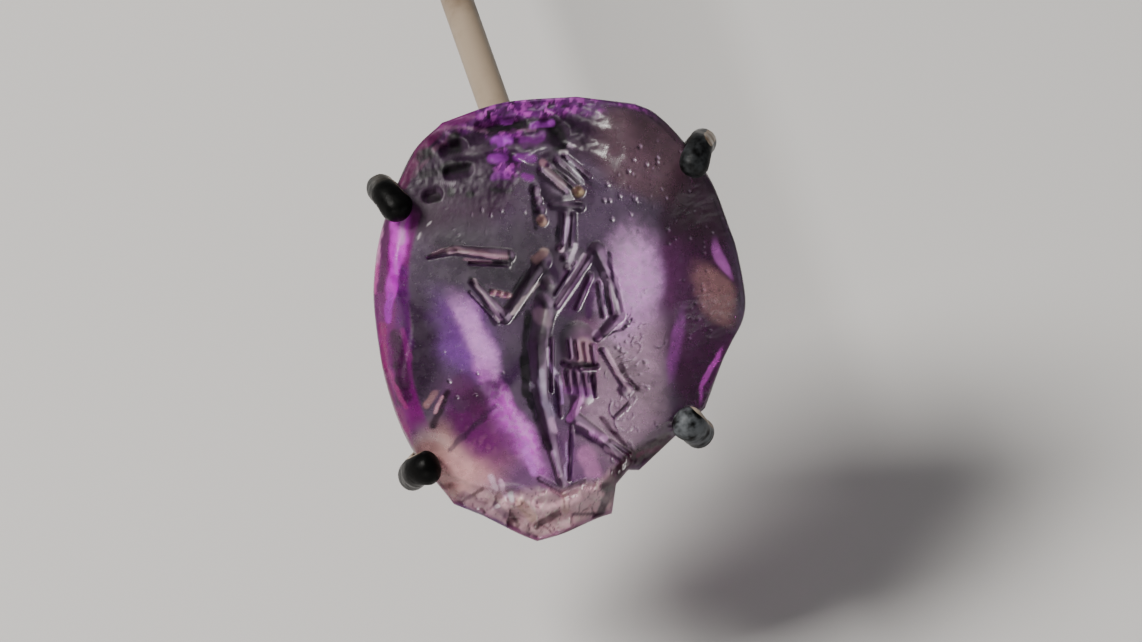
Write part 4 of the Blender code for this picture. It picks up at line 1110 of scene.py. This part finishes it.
def zone_share(x, y, middle, half, turn, soft):
    """Share of a soft oval zone at each point."""
    angle = math.radians(turn)
    dx, dy = x - middle[0], y - middle[1]
    u = (dx * math.cos(angle) + dy * math.sin(angle)) / half[0]
    v = (-dx * math.sin(angle) + dy * math.cos(angle)) / half[1]
    return 1 - step_up(np.hypot(u, v), 1 - soft / 2, 1 + soft / 2)


def blend(base, share, shade):
    """Mixes one colour over the others by its share."""
    return base + (colour(*shade) - base) * share[:, None]


def band_share(x, y):
    """One on the deep violet bevel along the left edge."""
    angle = bearing(x, y)
    band = step_up(angle, 141, 146) * (1 - step_up(angle, 214, 222))
    return band * (1 - step_up(rim_distance(x, y) + 0.35 * step_up(-y, 0, 3), 1.5, 1.7))


def gem_tint(x, y):
    """Colour of the gem at each point of its face."""
    wander = layered_noise(x, y, 1.7, 81)
    wx = x + ZONE_WANDER * (layered_noise(x, y, 1.5, 91) - 0.5)
    wy = y + ZONE_WANDER * (layered_noise(x, y, 1.5, 95) - 0.5)
    tint = np.tile(colour(*FIELD), (len(x), 1))
    mottle = 0.4 + 0.7 * layered_noise(x + 0.5 * y, y - 0.5 * x, 0.6, 141)
    mottle = mottle + 0.6 * ridge_noise(x, y, 0.32, 145)
    # painted glints that speckle the painted glows
    speckle = 0.85 * step_up(ridge_noise(x + 0.4 * y, y - 0.4 * x, 0.36, 149), 0.7, 0.95)
    for name, (middle, half, turn, soft, shade, strength) in TINTS.items():
        share = np.clip(mottle * strength, 0, 1) * zone_share(wx, wy, middle, half, turn, soft)
        tint = blend(tint, share, shade)
        if name in GLOWS:
            tint = blend(tint, share * speckle, GLOW_SPECKLE)
    tint = blend(tint, band_share(x, y), BAND_DARK)
    tint = draw_strokes(shade_relief(tint, x, y), x, y)
    return tint * (0.86 + 0.28 * wander)[:, None]


def shade_relief(tint, x, y):
    """Painted shade and highlight on the walls of every hollow, in each region's colours."""
    angle, inward = bearing(x, y), rim_distance(x, y)
    across = (gem_relief(x + SLOPE_STEP, y) - gem_relief(x - SLOPE_STEP, y)) / (2 * SLOPE_STEP)
    along = (gem_relief(x, y + SLOPE_STEP) - gem_relief(x, y - SLOPE_STEP)) / (2 * SLOPE_STEP)
    facing = across * LIT_SIDE[0] + along * LIT_SIDE[1]
    dark, light = step_up(facing, 0.0, 0.7), step_up(-facing, 0.3, 1.0)
    broken = break_share(x, y)
    top = broken * step_up(y, 2, 4)
    crest = step_up(1.0 - inward, 0, 0.4) * step_up(angle, 62, 72) * (1 - step_up(angle, 110, 126))
    column = step_up(1.1 - np.abs(x + 2.1 + 0.3 * (y - 7)), 0, 0.6) * step_up(y, 5.6, 6.4)
    patchy = step_up(layered_noise(x, y, 0.6, 111), 0.42, 0.6)
    vivid = top * np.maximum(crest * (0.55 + 0.45 * patchy), 0.75 * column * patchy)
    grain = facet_noise(x + 0.2 * patchy, y, 0.26, 191)
    foot = broken * step_up(-y, 6, 7.5) * step_up(2.4 - x, -1, 0.5)
    depth = cut_depth(x, y)
    cut = step_up(depth, 0.06, 0.25)
    streaky = layered_noise(x * 2.2, y * 0.8, 0.5, 181)
    rim = step_up(depth, 0.01, 0.05) * (1 - step_up(depth, 0.08, 0.2))
    nick = step_up(nick_depth(x, y), 0.008, 0.03)
    lively = step_up(layered_noise(x, y, 0.9, 161), 0.3, 0.65)
    plain = 1 - broken
    coats = (
        ((0.35 + 0.4 * streaky) * cut * plain, CUT_FILL),
        (0.93 * top, CHIP_DARK),
        # painted highlight on the top break's walls that face the light
        (0.15 * top * step_up(-facing, 0.1, 0.9), CHIP_LIT_GREY),
        (vivid, CHIP_VIOLET),
        # painted glints in the crest of the top break
        (vivid * step_up(grain, 0.62, 0.85), CHIP_GLINT),
        (vivid * (1 - step_up(grain, 0.12, 0.3)), CHIP_DARK),
        (0.88 * foot, FOOT_BREAK),
        (0.75 * foot * dark, FOOT_SHADE),
        # painted highlight on the foot break's walls that face the light
        (foot * light, FOOT_HIGHLIGHT),
        (0.7 * foot * (1 - step_up(inward, 0.1, 0.35)), FOOT_EDGE_TINT),
        # painted shade along the cuts' rims and on walls turned from the light
        (0.55 * rim * plain, CUT_SHADE),
        (0.8 * dark * plain, CUT_SHADE),
        # painted highlights on the lit walls of nicks and cuts
        (0.55 * nick * step_up(-facing, 0.0, 0.4) * plain, CUT_LIGHT),
        (0.55 * cut * (0.2 + 0.8 * lively) * light * plain, CUT_LIGHT),
    )
    for share, shade in coats:
        tint = blend(tint, share, shade)
    return tint


def draw_strokes(tint, x, y):
    """The strokes, with ragged sides that wander a little."""
    ragged = 0.75 + 0.5 * lattice_noise(x, y, 0.3, 171)
    wx = x + STROKE_WANDER * (lattice_noise(x, y, 0.35, 173) - 0.5)
    wy = y + STROKE_WANDER * (lattice_noise(x, y, 0.35, 177) - 0.5)
    for ax, ay, bx, by, half, shade, strength in STROKES:
        dx, dy = bx - ax, by - ay
        along = np.clip(((wx - ax) * dx + (wy - ay) * dy) / (dx * dx + dy * dy), 0, 1)
        off = np.hypot(wx - ax - along * dx, wy - ay - along * dy)
        share = (1 - step_up(off, STROKE_CORE * half, STROKE_REACH * half)) * strength
        tint = blend(tint, np.clip(share * ragged, 0, 1), shade)
    return tint


def gem_material():
    """See-through violet quartz with a worn, hazy skin."""
    look = Nodes("amethyst")
    place = look.gem_place()
    tint = look.add("ShaderNodeAttribute", attribute_name="tint").outputs["Color"]
    fine = look.range(look.noise(place, 2.2, 6.0, 0.65), 0.3, 0.7, 0.82, 1.12)
    grain = look.add("ShaderNodeCombineColor", Red=fine, Green=fine, Blue=fine).outputs[0]
    look.feed(look.shader.inputs["Base Color"], look.mix(1.0, tint, grain, "MULTIPLY"))
    rough = look.range(look.noise(place, 1.4, 5.0), 0.35, 0.65, 0.2, 0.34)
    rough = look.math("ADD", rough, look.math("MULTIPLY", look.attribute("broken"), 0.08))
    rough = look.math("ADD", rough, look.math("MULTIPLY", look.attribute("dull"), 0.22))
    rough = look.math("ADD", rough, look.math("MULTIPLY", look.attribute("cut"), 0.3))
    look.feed(look.shader.inputs["Roughness"], rough)
    veiled = look.math("MAXIMUM", look.attribute("band"), look.math(
        "MAXIMUM", look.attribute("dull"), look.math("MULTIPLY", look.attribute("cut"), 0.6)))
    shine = look.range(veiled, 0.0, 1.0, 0.5, 0.08)
    look.feed(look.shader.inputs["Specular IOR Level"], shine)
    wear = look.noise(place, 3.0, 6.0, 0.7)
    grit = look.range(look.noise(place, 14.0, 3.0), 0.62, 0.75)
    height = look.math("SUBTRACT", wear, look.math("MULTIPLY", grit, 0.5))
    look.feed(look.shader.inputs["Normal"], look.bump(height, 0.35, 0.00004))
    shader = look.shader.inputs
    shader["Transmission Weight"].default_value = SEEN_THROUGH
    shader["IOR"].default_value = REFRACTION
    dye = look.add("ShaderNodeVolumeAbsorption")
    dye.inputs["Color"].default_value = DYE_COLOUR
    dye.inputs["Density"].default_value = DYE_DENSITY
    look.tree.links.new(dye.outputs["Volume"], look.output.inputs["Volume"])
    return look.material


def metal_material():
    """Cream-painted wire, toned black on the face and worn here and there."""
    look = Nodes("blackened_metal")
    place = look.gem_place()
    stain = look.range(look.noise(place, 1.1, 4.0), 0.42, 0.62)
    paint = look.mix(stain, opaque(WIRE_CREAM), opaque(WIRE_BROWN))
    scuffed = look.range(look.noise(place, 1.1, 3.0, 0.6), 0.38, 0.66)
    worn = look.math("MULTIPLY", scuffed, look.attribute("worn"))
    dark = look.mix(worn, opaque(METAL_BLACK), opaque(METAL_GREY))
    ragged = look.math("ADD", look.attribute("toned"), look.math(
        "MULTIPLY", look.math("SUBTRACT", look.noise(place, 2.5, 4.0), 0.5), 0.4))
    share = look.range(ragged, 0.42, 0.58)
    look.feed(look.shader.inputs["Base Color"], look.mix(share, paint, dark))
    rough = look.range(look.noise(place, 2.0), 0.3, 0.7, 0.28, 0.5)
    look.feed(look.shader.inputs["Roughness"], rough)
    look.feed(look.shader.inputs["Normal"], look.bump(look.noise(place, 2.4, 6.0), 0.5, 0.00006))
    look.shader.inputs["Specular IOR Level"].default_value = METAL_GLOSS
    return look.material


def paint_material(name, scale):
    """Cream paint with faint brown stains."""
    look = Nodes(name)
    place = look.add("ShaderNodeTexCoord").outputs["Object"]
    stain = look.range(look.noise(place, scale, 5.0, 0.6), 0.42, 0.7, 0.0, 0.75)
    paint = look.mix(stain, opaque(PAINT_CREAM), opaque(PAINT_BROWN))
    look.feed(look.shader.inputs["Base Color"], paint)
    look.shader.inputs["Roughness"].default_value = PAINT_ROUGHNESS
    look.feed(look.shader.inputs["Normal"],
              look.bump(look.noise(place, scale * 6, 4.0), 0.25, 0.00005))
    return look.material


# The mount

def tube(path, radii, sides):
    """Points and faces of a tube along a path, with a point at each end."""
    points, faces = [tuple(path[0])], []
    side = (path[1] - path[0]).orthogonal().normalized()
    rings = []
    for k in range(1, len(path) - 1):
        tangent = (path[k + 1] - path[k - 1]).normalized()
        side = (side - tangent * side.dot(tangent)).normalized()
        other = tangent.cross(side)
        rings.append([len(points) + s for s in range(sides)])
        for s in range(sides):
            angle = math.tau * s / sides
            points.append(tuple(path[k] + (side * math.cos(angle) + other * math.sin(angle))
                                * radii[k]))
    points.append(tuple(path[-1]))
    end = len(points) - 1
    for s in range(sides):
        t = (s + 1) % sides
        faces.append((0, rings[0][t], rings[0][s]))
        faces.append((end, rings[-1][s], rings[-1][t]))
        for first, second in zip(rings, rings[1:]):
            faces.append((first[s], first[t], second[t], second[s]))
    return points, faces


def domed_tube(line, radius, sides, dome, flare=0.0):
    """A tube with ends rounded over a length, or nearly flat for a short one, and widened."""
    line = [Vector(p) for p in line]
    reach = np.cumsum([0.0] + [(b - a).length for a, b in zip(line, line[1:])])
    total = reach[-1]
    turns = np.radians(np.linspace(0, 90, 9))
    ends = dome * (1 - np.cos(turns))
    inner = np.arange(dome, total - dome, radius * 0.3)[1:]
    places = np.concatenate([ends, inner, total - ends[::-1]])
    path = [Vector([np.interp(p, reach, [v[i] for v in line]) for i in range(3)])
            for p in places]
    radii = np.concatenate([radius * np.sin(turns), np.full(len(inner), radius),
                            radius * np.sin(turns[::-1])])
    to_end = np.minimum(places, total - places)
    radii = radii * (1 + flare * np.clip((TIP_FLARE - to_end) / (TIP_FLARE - TIP_RADIUS), 0, 1))
    return tube(path, radii, sides)


def smooth_line(points, steps):
    """A smooth line through the points, with this many steps between each pair."""
    points = [np.array(p, float) for p in points]
    line = []
    for i in range(len(points) - 1):
        a, b = points[i], points[i + 1]
        before = points[i - 1] if i else a - (b - a)
        after = points[i + 2] if i + 2 < len(points) else b + (b - a)
        line += [hermite(a, b, (b - before) / 2, (after - a) / 2, k / steps)
                 for k in range(steps)]
    line.append(points[-1])
    return line


def claw_points(direction, lean, reach):
    """Middle line of one claw, from behind the gem's centre round its edge to the tip."""
    angle = math.radians(direction)
    out = np.array([math.cos(angle), math.sin(angle)])
    edge = float(edge_radius(angle))
    clear = SEAT_GAP + WIRE_RADIUS
    turn = math.radians(direction + 180.0 + lean)
    inward = np.array([math.cos(turn), math.sin(turn)])
    solid_elbow = out * (edge + (SOLID_GAP + WIRE_RADIUS) * ELBOW_OUT)
    elbow = out * (edge + clear * SEATED_ELBOW_OUT)
    tip = solid_elbow + inward * (SOLID_GAP + WIRE_RADIUS + reach)
    resting = max(float(front_height(*[np.array([v]) for v in tip + inward * step])[0])
                  for step in TIP_STEPS)
    tip_height = resting + SEAT_GAP + TIP_RADIUS
    bend_height = tip_height - BEND_DROP
    line = [(*(out * (edge * along + clear * beyond)), wire_level(SEAT_GAP) * depth)
            for along, beyond, depth in CLAW_SIDE]
    line.append((*elbow, bend_height * ELBOW_RISE))
    line.append((*(elbow + inward * BEND_INSET), bend_height * BEND_RISE))
    line.append((*tip, tip_height))
    return line


def joined_mesh(name, shapes):
    """One mesh from several lists of points and faces."""
    points, faces = [], []
    for some_points, some_faces in shapes:
        faces += [tuple(i + len(points) for i in face) for face in some_faces]
        points += some_points
    mesh = bpy.data.meshes.new(name)
    mesh.from_pydata(points, [], faces)
    face_outward(mesh)
    return mesh


def hammer(mesh, strength, size, seed):
    """Moves the points a little along their normals, as hand work leaves them."""
    place, normal = mesh_arrays(mesh)
    x, y, z = place.T
    push = layered_noise(x + 0.7 * z, y - 0.6 * z, size, seed) - 0.5
    mesh.vertices.foreach_set("co", (place + normal * push[:, None] * strength).ravel())


def store(mesh, name, kind, values):
    """Stores a value on every point of a mesh."""
    layer = mesh.attributes.new(name, kind, "POINT")
    key = {"FLOAT": "value", "FLOAT_VECTOR": "vector", "FLOAT_COLOR": "color"}[kind]
    layer.data.foreach_set(key, np.asarray(values, np.float32).ravel())


def mesh_arrays(mesh):
    """Places and normals of a mesh's points."""
    place, normal = np.empty(len(mesh.vertices) * 3), np.empty(len(mesh.vertices) * 3)
    mesh.vertices.foreach_get("co", place)
    mesh.vertices.foreach_get("normal", normal)
    return place.reshape(-1, 3), normal.reshape(-1, 3)


def tone_claws(mesh):
    """Widens the claws' faces and says where they are toned black and where that is worn."""
    place, normal = mesh_arrays(mesh)
    front = step_up(place[:, 2], -3.6, -2.8)
    toned, worn = np.zeros(len(place)), np.zeros(len(place))
    for name, (direction, lean, reach) in CLAWS.items():
        side, turned, wear, widen = CLAW_LOOKS[name]
        line = claw_points(direction, lean, reach)
        elbow, tip = np.array(line[-3][:2]), np.array(line[-1][:2])
        along = (tip - elbow) / np.hypot(*(tip - elbow))
        off = place[:, :2] - elbow
        near = front * (np.hypot(*(off - (tip - elbow) / 2).T) < 2.6)
        wider = near * (off[:, 1] * along[0] - off[:, 0] * along[1]) * (widen - 1)
        place[:, 0] -= wider * along[1]
        place[:, 1] += wider * along[0]
        facing = normal[:, 0] * math.cos(math.radians(side))
        facing = facing + normal[:, 1] * math.sin(math.radians(side))
        toned += near * (1 - step_up(facing, turned - 0.12, turned + 0.12))
        worn += near * wear
    mesh.vertices.foreach_set("co", place.ravel())
    store(mesh, "toned", "FLOAT", toned)
    store(mesh, "worn", "FLOAT", worn)
    store(mesh, "place", "FLOAT_VECTOR", place)


def cradle_mesh():
    """The two crossing wires with their four claws, the hub and the socket."""
    shapes = []
    for first, second in (("upper_left", "lower_right"), ("upper_right", "lower_left")):
        line = smooth_line(claw_points(*CLAWS[first])[::-1] + claw_points(*CLAWS[second]), 8)
        shapes.append(domed_tube(line, WIRE_RADIUS, WIRE_SIDES, WIRE_RADIUS,
                                 TIP_RADIUS / WIRE_RADIUS - 1))
    hub = hub_place()
    disc = [hub - Vector((0, 0, HUB_THICKNESS / 2)),
            Vector((hub.x, hub.y, wire_level(SEAT_GAP) + 0.2))]
    shapes.append(domed_tube(disc, HUB_RADIUS, WIRE_SIDES * 2, 0.15))
    end = GEM_TO_WORLD.inverted() @ (GEM_TO_WORLD @ hub + rod_direction() * SOCKET_LENGTH * MM)
    socket_radius = ROD_RADIUS + SOLID_GAP + SOCKET_WALL
    shapes.append(domed_tube([hub, end], socket_radius, WIRE_SIDES, 0.12))
    mesh = joined_mesh("claw_cradle_wires", shapes)
    hammer(mesh, 0.12, 0.9, 131)
    tone_claws(mesh)
    return mesh


def rod_line():
    """Middle line of the rod in the world's millimetres, from the socket to the foot."""
    forward = rod_direction()
    hub = (GEM_TO_WORLD @ hub_place()) / MM
    start = hub + forward * (SOCKET_LENGTH - 1.0)
    corner = Vector((0.0, 0.0, hub.z)) - forward * ROD_BEND_RADIUS
    line = [start + (corner - start) * k / 20 for k in range(20)]
    for k in range(25):
        angle = math.radians(90.0 * k / 24)
        line.append(corner + forward * ROD_BEND_RADIUS * math.sin(angle)
                    - Vector((0, 0, ROD_BEND_RADIUS * (1 - math.cos(angle)))))
    line.append(Vector((0.0, 0.0, FOOT_THICKNESS + FOOT_COLLAR_HEIGHT - 1.0)))
    return line


def foot_mesh():
    """The foot turned from its profile, closed round the rod."""
    top = FOOT_THICKNESS + FOOT_COLLAR_HEIGHT
    profile = [(FOOT_COLLAR_RADIUS - COLLAR_CHAMFER, top), (FOOT_COLLAR_RADIUS, top - COLLAR_CHAMFER),
               (FOOT_COLLAR_RADIUS, FOOT_THICKNESS + COLLAR_CHAMFER)]
    for k in range(1, 7):
        angle = math.radians(90.0 * k / 6)
        profile.append((FOOT_COLLAR_RADIUS + COLLAR_CHAMFER * (1 - math.cos(angle)),
                        FOOT_THICKNESS + COLLAR_CHAMFER * (1 - math.sin(angle))))
    for k in range(13):
        angle = math.radians(90.0 * k / 12)
        profile.append((FOOT_RADIUS - FOOT_EDGE * (1 - math.sin(angle)),
                        FOOT_THICKNESS - FOOT_EDGE * (1 - math.cos(angle))))
    profile += [(FOOT_RADIUS, FOOT_CHAMFER), (FOOT_RADIUS - FOOT_CHAMFER, 0.0)]
    sides = FOOT_SIDES
    points = [(0.0, 0.0, top)]
    faces = []
    for radius, height in profile:
        points += [(radius * math.cos(math.tau * s / sides), radius * math.sin(math.tau * s / sides),
                    height) for s in range(sides)]
    points.append((0.0, 0.0, 0.0))
    for s in range(sides):
        t = (s + 1) % sides
        faces.append((0, 1 + s, 1 + t))
        for k in range(len(profile) - 1):
            a, b = 1 + k * sides, 1 + (k + 1) * sides
            faces.append((a + s, b + s, b + t, a + t))
        last = 1 + (len(profile) - 1) * sides
        faces.append((last + s, len(points) - 1, last + t))
    return joined_mesh("weighted_foot", [(points, faces)])


def build():
    """Every piece, placed on the stand."""
    gem = gem_mesh()
    place_piece("amethyst_gem", gem, gem_material(), GEM_TO_WORLD, "gem")
    cradle = cradle_mesh()
    place_piece("claw_cradle_wires", cradle, metal_material(), GEM_TO_WORLD,
                "claw_cradle")
    rod = joined_mesh("painted_rod", [domed_tube(rod_line(), ROD_RADIUS, ROD_SIDES, 0.05)])
    to_metres = Matrix.Scale(MM, 4)
    place_piece("painted_rod", rod, paint_material("cream_painted_rod", 260.0), to_metres,
                "stand_rod")
    foot = place_piece("weighted_foot", foot_mesh(), paint_material("cream_painted_foot", 120.0),
                       to_metres, "stand_foot")
    foot.data.set_sharp_from_angle(angle=math.radians(40))


# Soft lights: name, direction in the gem's own frame, distance and size in metres, power, colour
LIGHTS = (
    ("key", (-0.7, 0.5, 0.8), 0.5, 0.18, 4.2, (1.0, 0.97, 0.93)),
    ("fill", (0.9, -0.7, 0.35), 0.6, 0.4, 1.2, (0.93, 0.96, 1.0)),
    ("low", (-0.2, -1.0, 0.8), 0.6, 0.4, 2.0, (1.0, 0.95, 0.9)),
)
SKY_COLOUR = (0.55, 0.55, 0.56, 1.0)
SKY_STRENGTH = 0.35
FLOOR_SIZE = 3.0
FLOOR_COLOUR = (0.62, 0.61, 0.6, 1.0)
FLOOR_ROUGHNESS = 0.9


def aim(thing, place, target):
    """Places a light or camera and points it at a target."""
    thing.location = place
    thing.rotation_euler = (target - place).to_track_quat("-Z", "Y").to_euler()


def add_area(name, direction, distance, size, power, tint):
    """A soft light in a direction given in the gem's own frame."""
    data = bpy.data.lights.new(name, "AREA")
    data.size = size
    data.energy = power
    data.color = tint
    light = bpy.data.objects.new(name, data)
    bpy.context.scene.collection.objects.link(light)
    centre = GEM_TO_WORLD @ Vector((0, 0, 0))
    toward = FACE_TURN.to_3x3() @ Vector(direction).normalized()
    aim(light, centre + toward * distance, centre)


def stage():
    """Camera square to the gem's face, soft studio light and the pale floor."""
    data = bpy.data.cameras.new("camera")
    data.sensor_width = SENSOR_WIDTH
    data.lens = SENSOR_WIDTH * CAMERA_DISTANCE / (PHOTO_WIDTH * PIXEL_MM)
    data.clip_start = 0.01
    camera = bpy.data.objects.new("camera", data)
    bpy.context.scene.collection.objects.link(camera)
    across = (PHOTO_WIDTH / 2 - GEM_PIXEL[0]) * PIXEL_MM
    up = (GEM_PIXEL[1] - PHOTO_HEIGHT / 2) * PIXEL_MM
    spot = Vector((across, up, CAMERA_DISTANCE))
    camera.matrix_world = Matrix.Translation(GEM_TO_WORLD @ spot) @ FACE_TURN
    bpy.context.scene.camera = camera
    for light in LIGHTS:
        add_area(*light)
    world = bpy.data.worlds.new("studio")
    world.use_nodes = True
    sky = world.node_tree.nodes["Background"].inputs
    sky["Color"].default_value = SKY_COLOUR
    sky["Strength"].default_value = SKY_STRENGTH
    bpy.context.scene.world = world
    bpy.ops.mesh.primitive_plane_add(size=FLOOR_SIZE, location=(0, 0, 0))
    floor = bpy.context.object
    floor.name = "floor"
    plain = bpy.data.materials.new("plain_floor")
    plain.use_nodes = True
    matt = plain.node_tree.nodes["Principled BSDF"].inputs
    matt["Base Color"].default_value = FLOOR_COLOUR
    matt["Roughness"].default_value = FLOOR_ROUGHNESS
    floor.data.materials.append(plain)


build()
stage()
